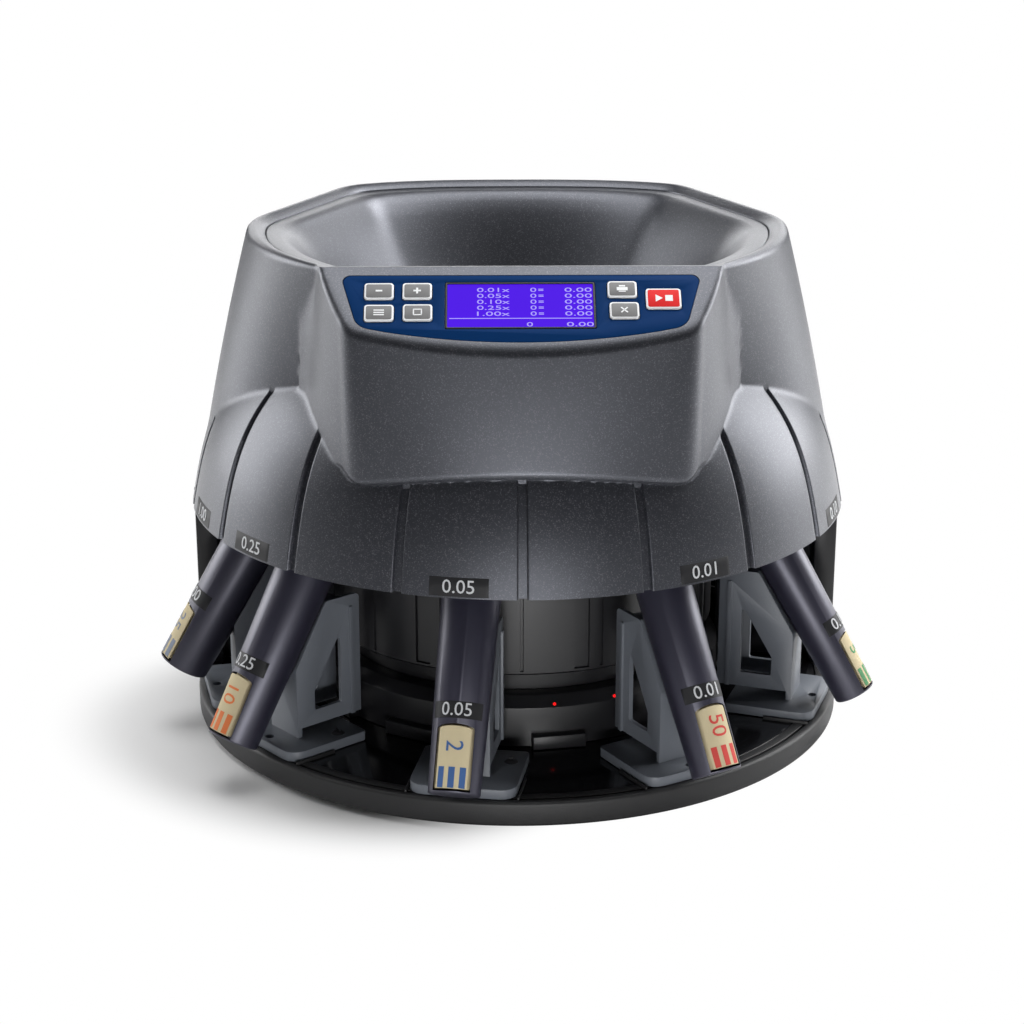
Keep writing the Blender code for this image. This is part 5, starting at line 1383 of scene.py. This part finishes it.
@dataclass
class Labels:
    """The value labels on the skirt's lower edge."""

    housing: Housing
    azimuths: dict[str, float] = field(default_factory=lambda: {
        "100": -70.5, "025": -50.2, "005": -10.0, "001": 30.5, "010": 70})
    half_angle: float = 4.95
    low: float = 0.1193
    high: float = 0.1287
    numeral: float = 0.0098
    proud: float = 0.00018
    text_proud: float = 0.00028
    squeeze: tuple[float, float] = (0.98, 0.92)

    def surface(self, azimuth: float, across: float, z: float, proud: float) -> Vector:
        """Give a point on the skirt beside an azimuth.

        Args:
            azimuth: The label's middle, in degrees from -Y.
            across: The distance round the skirt, to the right.
            z: The level.
            proud: How far the point stands off the skirt.

        Returns:
            The point.
        """
        radius = float(self.housing.skirt(np.array(z))) + proud
        turn = radians(azimuth) + across / self.housing.skirt_radius
        return Vector((radius * sin(turn), -radius * cos(turn), z))

    def build(self) -> None:
        """Build each label's thin plate and its numerals."""
        width = radians(self.half_angle) * self.housing.skirt_radius
        tall = self.high - self.low
        middle = (self.low + self.high) / 2
        for key, azimuth in self.azimuths.items():

            def surface(across: float, share: float, height: float, azimuth: float = azimuth
                        ) -> Vector:
                """Give a point of the label's plate."""
                return self.surface(azimuth, width * across, self.low + tall * share, height)

            base = label_plate(f"value_label_{key}", self.proud, surface)
            dress(base, "label", "base", Paint.BLACK)
            text = lettering(f"value_text_{key}", VALUES[key], self.numeral)
            text.data.transform(Matrix.Diagonal((*self.squeeze, 1, 1)))
            bend_to(text, lambda p, a=azimuth: self.surface(a, p.x, middle + p.y,
                                                            self.text_proud + p.z))
            dress(text, "ink_grey", "base", Paint.BLACK)


@dataclass
class Tray:
    """The round tray: a matt band, a groove, a ledge and a glossy floor."""

    radius: float = 0.1783
    band: float = 0.0040
    groove: float = 0.0015
    ledge: float = 0.0045
    top: float = 0.0130
    rear_flat: float = 0.1525
    edge: float = 0.0018
    floor_drop: float = 0.0040
    groove_drop: float = 0.0030
    gap: float = 0.0003
    rail_size: tuple[float, float, float] = (0.0240, 0.0010, 0.0030)
    rail_side: float = 0.0283
    steps: int = 240

    def build(self) -> None:
        """Build the tray's rim and floor, its guide rails and its feet."""
        outer = self.radius - self.band
        inner = outer - self.groove
        ledge = inner - self.ledge
        bed, groove = self.top - self.floor_drop, self.top - self.groove_drop
        rim = turned("tray_rim", [(0, bed)] + rounded_profile([
            (ledge - 0.0005, bed, 0), (ledge - 0.0005, self.top, 0.0002),
            (inner, self.top, 0.0004), (inner, groove, 0),
            (outer, groove, 0), (outer, self.top, 0.0004),
            (self.radius, self.top, self.edge), (self.radius, 0.0, self.edge),
            (0.1300, 0.0, 0)], 4) + [(0, 0)], self.steps)
        floor = turned("tray_floor", rounded_profile([
            (0, self.top - self.gap, 0), (ledge - 0.0008, self.top - self.gap, 0.0003),
            (ledge - 0.0008, self.top - 0.0042, 0), (0, self.top - 0.0042, 0)], 3), self.steps)
        for piece in (rim, floor):
            carve(piece, block("rear", (0.5, 0.1, 0.1), (0, self.rear_flat + 0.05, 0)))
            shade(piece, 35)
        dress(rim, "tray_edge", "base", Paint.TRAY, ("base_tray",))
        dress(floor, "tray", "base", Paint.TRAY)
        rails = []
        for azimuth in STATIONS.values():
            for side in (-1, 1):
                middle = inner - self.rail_size[0] / 2
                rail = block("rail", self.rail_size, (middle, side * self.rail_side, self.top),
                             0.0003)
                rail.data.transform(turn_about_z(azimuth))
                rails.append(rail)
        dress(joined(rails, "guide_rails"), "tray_edge", "base", Paint.TRAY)
        for number in range(1, 5):
            refined(f"rubber_foot_{number}", f"foot_pad_{number}", "rubber", "base", Paint.RUBBER)


@dataclass
class Column:
    """The column with its panel lines, and the sensor ring round its foot."""

    radius: float = 0.1080
    neck: float = 0.0980
    low: float = 0.0510
    high: float = 0.1180
    head: float = 0.0780
    line_start: float = 0.4
    line_pitch: float = 22.5
    line_width: float = 0.0012
    line_depth: float = 0.0010
    bay_width: float = 0.0075
    bay_depth: float = 0.0014
    bay_offset: float = 5.7
    slack: float = 0.0001
    inner: float = 0.0950
    shoulder: float = 0.1380
    top: float = 0.1755
    head_wall: float = 0.0025
    wall: float = 0.0050
    lines: int = 16
    stand: float = 0.0133
    ring_radius: float = 0.1120
    block_size: tuple[float, float, float] = (0.0060, 0.0280, 0.0074)
    ring_inner: float = 0.0983
    ring_slope: float = 0.1060
    ring_side: float = 0.0345
    ring_top: float = 0.0395
    chamfer: float = 0.0012
    plain_low: float = 0.0022
    grooved_low: float = 0.0026
    plain_high: float = 0.0026
    grooved_high: float = 0.0030
    groove_side: float = 0.00035
    lamp_profile: tuple[tuple[float, float, float], ...] = (
        (0, 0.0009, 0), (0.0008, 0.0009, 0.0006), (0.0008, -0.0010, 0), (0, -0.0010, 0))
    collar_profile: tuple[tuple[float, float], ...] = (
        (0.0012, 0.0004), (0.0019, 0.0004), (0.0021, 0.0), (0.0021, -0.0010), (0.0012, -0.0010))
    block_radius: float = 0.1140
    block_turn: float = 20
    lamp_azimuths: tuple[float, float] = (9.2, 26.4)
    lamp_place: tuple[float, float, float] = (0.1106, 0, 0.0357)
    lamp_tilt: float = radians(50)

    def relief(self, azimuth: float) -> float:
        """Give how deep the column is grooved at an azimuth in degrees.

        Args:
            azimuth: The azimuth in degrees.

        Returns:
            The depth.
        """
        depth = 0.0
        for k in range(self.lines):
            line = self.line_start + k * self.line_pitch
            away = abs((azimuth - line + 180) % 360 - 180) * radians(1) * self.radius
            if away < self.line_width / 2 + self.slack:
                depth = max(depth, self.line_depth)
            if k % 2 == 1:
                bay = abs((azimuth - line + self.bay_offset + 180) % 360 - 180)
                if bay * radians(1) * self.radius < self.bay_width / 2 + self.slack:
                    depth = max(depth, self.bay_depth)
        return depth

    def azimuths(self) -> list[float]:
        """Give the grid's azimuths, with pairs at each groove's sides.

        Returns:
            The azimuths in degrees, from the least.
        """
        turns = {round(k * 1.5, 4) for k in range(240)}
        for k in range(self.lines):
            line = self.line_start + k * self.line_pitch
            edges = [(line, self.line_width / 2)]
            if k % 2 == 1:
                edges.append((line - self.bay_offset, self.bay_width / 2))
            for middle, half in edges:
                for side in (-1, 1):
                    for slack in (0.0, self.groove_side):
                        offset = degrees((half + slack) / self.radius) * side
                        turns.add(round((middle + offset) % 360, 4))
        return sorted(turns)

    def build(self) -> None:
        """Build the column and the sensor ring with its blocks and lamps."""
        turns = self.azimuths()
        depths = [self.relief(turn) for turn in turns]
        rows = [(self.inner, self.stand, 0), (self.neck, self.stand, 0),
                (self.neck, self.low, 0), (self.radius - self.chamfer, self.low, 0),
                (self.radius, self.low + self.chamfer, 0),
                (self.radius, self.low + self.plain_low, 0),
                (self.radius, self.low + self.grooved_low, 1),
                (self.radius, self.high - self.grooved_high, 1),
                (self.radius, self.high - self.plain_high, 0), (self.radius, self.high, 0),
                (self.head, self.shoulder, 0), (self.head, self.top, 0),
                (self.head - self.head_wall, self.top, 0),
                (self.head - self.head_wall, self.shoulder, 0),
                (self.radius - self.wall, self.high, 0),
                (self.radius - self.wall, self.low + self.wall / 2, 0),
                (self.inner, self.low + self.wall / 2, 0)]

        def place(i: int, j: int) -> tuple[float, float, float]:
            """Give the point of a column and a row.

            Args:
                i: The column.
                j: The row.

            Returns:
                The point's place.
            """
            radius, z, grooved = rows[j]
            radius -= depths[i] * grooved
            turn = radians(turns[i])
            return radius * sin(turn), -radius * cos(turn), z

        piece = bent_grid("column_shell", len(turns), len(rows), place, looped=True)
        shade(piece, 25)
        dress(piece, "black", "base", Paint.BLACK, ("column",))
        self.build_ring()

    def build_ring(self) -> None:
        """Build the sensor ring, its foot blocks and its red lamps."""
        ring = turned("sensor_ring_shell", rounded_profile([
            (self.ring_inner, self.ring_top, 0.0004), (self.ring_inner, self.stand, 0),
            (self.ring_radius, self.stand, 0), (self.ring_radius, self.ring_side, 0.0008),
            (self.ring_slope, self.ring_top, 0.0008)], 3), 240)
        shade(ring, 30)
        dress(ring, "black", "base", Paint.BLACK, ("sensor_ring",))
        blocks = []
        for azimuth in STATIONS.values():
            centre = (self.block_radius, 0, self.stand + self.block_size[2] / 2)
            foot = block("foot_block", self.block_size, centre, 0.0006)
            foot.data.transform(turn_about_z(azimuth + self.block_turn))
            blocks.append(foot)
        dress(joined(blocks, "sensor_blocks"), "black", "base", Paint.BLACK)
        lamps, collars = [], []
        for azimuth in self.lamp_azimuths:
            lamp = turned("lamp", rounded_profile(self.lamp_profile, 4), 16)
            collar = turned("collar", self.collar_profile, 16)
            tilt = (Matrix.Translation(self.lamp_place)
                    @ Matrix.Rotation(self.lamp_tilt, 4, "Y"))
            for piece in (lamp, collar):
                piece.data.transform(turn_about_z(azimuth) @ tilt)
            lamps.append(lamp)
            collars.append(collar)
        dress(joined(lamps, "sensor_lamps"), "lamp", "base", Paint.KEY_RED)
        dress(joined(collars, "lamp_collars"), "pocket", "base", Paint.BLACK)


@dataclass
class Station:
    """A tube station: bracket, tube and wrapper, at one azimuth."""

    key: str
    azimuth: float
    lean: float = radians(31)
    mouth_radius: float = 0.1408
    mouth_z: float = 0.1085
    length: float = 0.1000
    top_radius: float = 0.0149
    low_radius: float = 0.0129
    wall: float = 0.0016
    floor: float = 0.0020
    window_width: float = 0.0182
    window_low: float = 0.0010
    window_high: float = 0.0334
    window_rise: float = 0.0026
    paper_length: float = 0.0760
    paper_inset: float = 0.0005
    bar_size: tuple[float, float, float] = (0.0030, 0.0100, 0.0002)
    bar_pitch: float = 0.0053
    bar_centre: float = 0.0065
    number: float = 0.0118
    number_centre: float = 0.0216
    number_slice: float = 0.0006
    ink_z: float = 0.00042
    label_low: float = 0.0358
    label_high: float = 0.0442
    label_half: float = radians(62)
    label_proud: float = 0.00015
    text_proud: float = 0.00025
    numeral: float = 0.0092
    raised_foot: float = 0.0098
    screw_place: tuple[float, float] = (0.1400, 0.0195)
    screw_z: float = 0.0183

    @property
    def body(self) -> str:
        """The body that the station's pieces ride on."""
        return f"station_{self.key}"

    @property
    def size(self) -> float:
        """The tube's width as a share of the middle tube's."""
        return TUBE_SIZES[self.key]

    @property
    def foot(self) -> float:
        """How far up the shared axis this tube's foot lies."""
        return self.raised_foot if self.key == "100" else 0.0

    def matrix(self) -> Matrix:
        """Give the tube's frame: its foot at the origin and its mouth up local Z.

        Returns:
            The matrix from the tube's frame to the object's.
        """
        place = Matrix.Translation((self.mouth_radius + self.length * sin(self.lean), 0,
                                    self.mouth_z - self.length * cos(self.lean)))
        return turn_about_z(self.azimuth) @ place @ Matrix.Rotation(-self.lean, 4, "Y")

    def outside(self, level: float) -> float:
        """Give the tube's outer radius at a distance up its axis."""
        slope = (self.top_radius - self.low_radius) / self.length
        return (self.low_radius + slope * level) * self.size

    def build(self) -> None:
        """Build and dress the station's pieces."""
        self.build_tube()
        self.build_wrapper()
        self.build_print()
        self.build_label()
        refined(f"tube_bracket_{self.key}", f"bracket_{self.key}", "bracket", self.body,
                Paint.BRACKET, 0.0005)
        self.build_screw()

    def window_outline(self, grow: float) -> list[tuple[float, float]]:
        """Give the arched window's outline, made larger all round by a distance.

        Args:
            grow: The distance, below zero for a smaller outline.

        Returns:
            The outline's points, in order.
        """
        half = self.window_width * self.size / 2 + grow
        low = self.foot + self.window_low - grow
        shoulder = self.foot + self.window_high - self.window_rise
        arch = [(half * cos(pi * k / 16), shoulder + (self.window_rise + grow) * sin(pi * k / 16))
                for k in range(17)]
        return [(-half, low), (half, low)] + arch

    def build_tube(self) -> None:
        """Build the tapered tube with its closed foot and arched window."""
        foot, top = self.foot, self.length
        floor = foot + self.floor
        profile = rounded_profile([
            (0, floor, 0), (self.outside(floor) - self.wall, floor, 0.0005),
            (self.outside(top) - self.wall, top, 0.0004), (self.outside(top), top, 0.0006),
            (self.outside(foot), foot, 0.0010), (0, foot, 0)], 4)
        tube = turned("tube", profile, 72)
        window = plate("window", self.window_outline(0.0), 0.0040, 0.0250)
        window.data.transform(Matrix(((0, 0, 1, 0), (1, 0, 0, 0), (0, 1, 0, 0), (0, 0, 0, 1))))
        carve(tube, window)
        soften(tube, 0.00025, 40)
        tube.data.transform(self.matrix())
        tube.name = f"tube_shell_{self.key}"
        dress(tube, "tube", self.body, Paint.TUBE, (f"coin_tube_{self.key}",))

    def build_wrapper(self) -> None:
        """Build the paper wrapper and the bulge of its paper in the window."""
        low = self.foot + self.floor + 0.0003
        radius = self.outside(low) - self.wall - 0.0003
        top = low + self.paper_length - self.foot
        paper = turned("paper", [(0, low + 0.0006), (radius - 0.0006, low + 0.0006),
                                 (radius - 0.0006, top), (radius, top), (radius, low), (0, low)],
                       48)
        bulge = plate("bulge", self.window_outline(-0.0011), 0.0, 0.0004)
        add_modifier(bulge, "REMESH", mode="SHARP", octree_depth=6, scale=0.99,
                     use_remove_disconnected=False)
        bend_to(bulge, self.wrapped)
        sheet = joined([paper, bulge], f"wrapper_paper_{self.key}")
        shade(sheet, 40)
        sheet.data.transform(self.matrix())
        dress(sheet, "paper", self.body, Paint.PAPER, (f"coin_wrapper_{self.key}",))

    def wrapped(self, point: Vector) -> Vector:
        """Carry a point from across, along and out onto the paper in the window.

        Args:
            point: The point, flat.

        Returns:
            The point in the tube's frame.
        """
        radius = self.outside(point.y) - self.paper_inset
        return Vector(((radius + point.z) * cos(point.x / radius),
                       (radius + point.z) * sin(point.x / radius), point.y))

    def build_print(self) -> None:
        """Build the wrapper's bars and its plain number, which run along the tube."""
        low = self.foot + self.window_low
        wide, tall, deep = self.bar_size
        marks = []
        for k in (-1, 0, 1):
            bar = block("bar", (wide * self.size, tall, deep),
                        (k * self.bar_pitch * self.size, low + self.bar_centre, self.ink_z))
            marks.append(self.cut_across(bar))
        number = lettering("number", ROLLS[self.key], self.number)
        number.data.transform(Matrix.Translation((0, low + self.number_centre, self.ink_z))
                              @ Matrix.Rotation(-pi / 2, 4, "Z"))
        marks.append(sliced(number, self.number_slice))
        print_work = joined(marks, f"wrapper_marks_{self.key}")
        bend_to(print_work, self.wrapped)
        print_work.data.transform(self.matrix())
        dress(print_work, f"stripe_{self.key}", self.body, Paint.PAPER)

    @staticmethod
    def cut_across(bar: bpy.types.Object) -> bpy.types.Object:
        """Divide a bar's faces along its length, so that it bends with the paper.

        Args:
            bar: The bar.

        Returns:
            The same bar, divided.
        """
        activate(bar)
        bpy.ops.object.mode_set(mode="EDIT")
        bpy.ops.mesh.select_all(action="SELECT")
        bpy.ops.mesh.subdivide(number_cuts=3)
        bpy.ops.object.mode_set(mode="OBJECT")
        return bar

    def build_label(self) -> None:
        """Build the value label wrapped on the tube above its window."""
        low, high = self.foot + self.label_low, self.foot + self.label_high

        def surface(across: float, share: float, height: float) -> tuple[float, float, float]:
            """Give a point of the label.

            Args:
                across: The share across, from -1 to 1.
                share: The share up.
                height: The height off the tube.

            Returns:
                The point in the tube's frame.
            """
            turn = self.label_half * across
            level = low + (high - low) * share
            radius = self.outside(level) + height
            return radius * cos(turn), radius * sin(turn), level

        band = label_plate(f"tube_label_{self.key}", self.label_proud, surface)
        band.data.transform(self.matrix())
        dress(band, "label", self.body, Paint.TUBE)
        text = lettering(f"tube_text_{self.key}", VALUES[self.key], self.numeral)
        middle = (low + high) / 2
        radius = self.outside(middle)
        bend_to(text, lambda p: Vector((
            (radius + self.text_proud + p.z) * cos(p.x / radius),
            (radius + self.text_proud + p.z) * sin(p.x / radius), middle + p.y)))
        text.data.transform(self.matrix())
        dress(text, "ink_grey", self.body, Paint.TUBE)

    def build_screw(self) -> None:
        """Build the screw that holds the bracket's foot plate together."""
        top = self.screw_z
        head = turned("screw", rounded_profile([
            (0, top + 0.0014, 0), (0.0020, top + 0.0014, 0.0010), (0.0036, top, 0.0002),
            (0.0036, top - 0.0020, 0), (0, top - 0.0020, 0)], 3), 24)
        for turn in (0, 90):
            slot = block("slot", (0.0034, 0.0006, 0.0020), (0, 0, top + 0.0014))
            slot.data.transform(Matrix.Rotation(radians(turn), 4, "Z"))
            carve(head, slot)
        shade(head, 35)
        place = Matrix.Translation((*self.screw_place, 0))
        head.data.transform(turn_about_z(self.azimuth) @ place)
        head.name = f"foot_screw_{self.key}"
        dress(head, "black", self.body, Paint.BRACKET)


@dataclass
class Works:
    """The hidden and half hidden pieces that keep their CAD shapes."""

    def build(self) -> None:
        """Dress each carried-over node."""
        refined("rear_wall", "rear_wall_shell", "black", "base", Paint.BLACK, 0.0008, 40)
        for node, coat, body, slot, bevel, angle in self.nodes():
            refined(node, f"{node}_piece", coat, body, slot, bevel, angle)

    @staticmethod
    def nodes() -> Iterable[tuple[str, str, str, Paint, float, float]]:
        """Give each node's name, finish, body, slot, rounding and least rounded angle.

        Returns:
            One row for each node.
        """
        for node in ("deck_plate", "sorting_ring", "motor_bracket", "motor", "upper_bearing",
                     "lower_bearing", "power_supply", "display_module"):
            yield node, "steel", "base", Paint.STEEL, 0.0003, 30
        yield "control_board", "board", "base", Paint.BOARD, 0.0003, 30
        for node in ("power_inlet", "switch_frame", "printer_port"):
            yield node, "black", "base", Paint.BLACK, 0.0004, 30
        for key in STATIONS:
            yield f"chute_{key}", "black", "base", Paint.BLACK, 0.0003, 40
        yield "feed_disc", "steel", "feed", Paint.STEEL, 0.0004, 40
        yield "disc_cap", "black", "feed", Paint.BLACK, 0.0006, 40
        yield "drive_shaft", "steel", "feed", Paint.STEEL, 0.0003, 40
        yield "drive_gear", "gear", "feed", Paint.GEAR, 0.0002, 40
        yield "motor_pinion", "gear", "pinion", Paint.GEAR, 0.0001, 40
        yield "power_rocker", "black", "rocker", Paint.BLACK, 0.0005, 30


class Light(Enum):
    """The studio lamps: place, aim, width, height and power."""

    TOP = ((0.0, 0.10, 1.30), (0.0, 0.0, 0.20), 1.20, 0.80, 13.0)
    KEY = ((0.62, 0.50, 1.15), (0.0, 0.0, 0.15), 0.60, 0.50, 12.0)
    LEFT = ((-1.20, 0.45, 0.50), (0.0, 0.0, 0.15), 0.80, 0.90, 12.0)
    RIGHT = ((1.20, 0.45, 0.55), (0.0, 0.0, 0.15), 0.80, 0.90, 17.0)
    FRONT = ((0.02, -0.68, 0.025), (0.02, 0.0, 0.19), 0.30, 0.05, 1.3)
    BACK = ((0.10, 1.60, 0.62), (0.0, 0.0, 0.20), 2.00, 0.40, 10.0)


@dataclass
class Studio:
    """Camera, lamps, world and floor."""

    focal: float = 2200 / 1024 * 36
    eye: tuple[float, float, float] = (-0.0028, -1.1550, 0.4890)
    pitch: float = 18.44
    turn: float = -0.77
    floor_z: float = -0.0025
    shadow_centre: tuple[float, float, float] = (-0.112, -0.064, 0.0)
    shadow_size: tuple[float, float, float] = (0.145, 0.105, 1.0)
    shadow_turn: float = radians(-42)
    shadow_near: float = 0.72
    shadow_far: float = 1.18
    floor_colour: Colour = (0.80, 0.80, 0.80)
    surround: float = 0.04

    def build(self) -> None:
        """Set the camera, the lamps, the world and the floor."""
        scene = bpy.context.scene
        scene.view_settings.view_transform = "Standard"
        select_none()
        swing = Matrix.Rotation(radians(self.turn), 4, "Z")
        bpy.ops.object.camera_add(location=swing @ Vector(self.eye),
                                  rotation=(radians(90 - self.pitch), 0, radians(self.turn)))
        camera = bpy.context.object
        camera.data.sensor_width = 36
        camera.data.lens = self.focal
        scene.camera = camera
        for lamp in Light:
            self.add_lamp(lamp)
        self.add_world()
        self.add_floor()

    @staticmethod
    def add_lamp(lamp: Light) -> None:
        """Add one area lamp that faces its aim.

        Args:
            lamp: The lamp.
        """
        place, aim, wide, tall, power = lamp.value
        bpy.ops.object.light_add(type="AREA", location=place)
        light = bpy.context.object
        light.name = f"lamp_{lamp.name.lower()}"
        light.data.shape = "RECTANGLE"
        light.data.size = wide
        light.data.size_y = tall
        light.data.energy = power
        direction = Vector(aim) - Vector(place)
        light.rotation_euler = direction.to_track_quat("-Z", "Y").to_euler()

    def add_world(self) -> None:
        """Add a white surround that lights the object only softly."""
        world = bpy.data.worlds.new("studio")
        bpy.context.scene.world = world
        wiring = Wiring(world)
        seen = wiring.seen("Is Camera Ray", "Is Transmission Ray", "MAXIMUM")
        level = wiring.add("MapRange", {"To Min": self.surround, "To Max": 1.0, "Value": seen})
        wiring.fill(wiring.nodes["Background"], {"Color": (1, 1, 1, 1),
                                                 "Strength": level.outputs["Result"]})

    def add_floor(self) -> None:
        """Add the pale floor, which keeps a soft shadow near the object."""
        bpy.ops.mesh.primitive_plane_add(size=12, location=(0, 0, self.floor_z))
        floor = bpy.context.object
        floor.name = "studio_floor"
        paper = bpy.data.materials.new("studio_paper")
        wiring = Wiring(paper)
        oval = wiring.add("Mapping", {
            "Location": self.shadow_centre, "Rotation": (0, 0, self.shadow_turn),
            "Scale": self.shadow_size, "Vector": wiring.coordinates()}, vector_type="TEXTURE")
        away = wiring.add("VectorMath", {0: oval.outputs["Vector"]}, operation="LENGTH")
        share = wiring.add("MapRange", {
            "From Min": self.shadow_near, "From Max": self.shadow_far, "To Max": 1.0,
            "Value": away.outputs["Value"]}, interpolation_type="SMOOTHSTEP")
        seen = wiring.seen("Is Camera Ray", share.outputs["Result"], "MULTIPLY")
        shader = wiring.fill(wiring.nodes["Principled BSDF"], {
            "Base Color": (*self.floor_colour, 1), "Roughness": 0.9})
        glow = wiring.add("Emission", {"Color": (1, 1, 1, 1)})
        mix = wiring.add("MixShader", {"Fac": seen, 1: shader.outputs["BSDF"],
                                       2: glow.outputs["Emission"]})
        wiring.fill(wiring.nodes["Material Output"], {"Surface": mix.outputs["Shader"]})
        floor.data.materials.append(paper)


def main() -> None:
    """Build every sub-assembly in order."""
    logging.basicConfig(level=logging.INFO, format="%(message)s")
    Studio().build()
    housing = Housing()
    console = Console()
    shell = housing.build()
    console.cut_housing(shell)
    shade(shell, 40)
    dress(shell, "housing", "base", Paint.HOUSING, ("upper_housing",))
    Hopper(housing).build()
    console.build()
    Labels(housing).build()
    Tray().build()
    Column().build()
    for key, azimuth in STATIONS.items():
        Station(key, azimuth).build()
    Works().build()


if __name__ == "__main__":
    main()
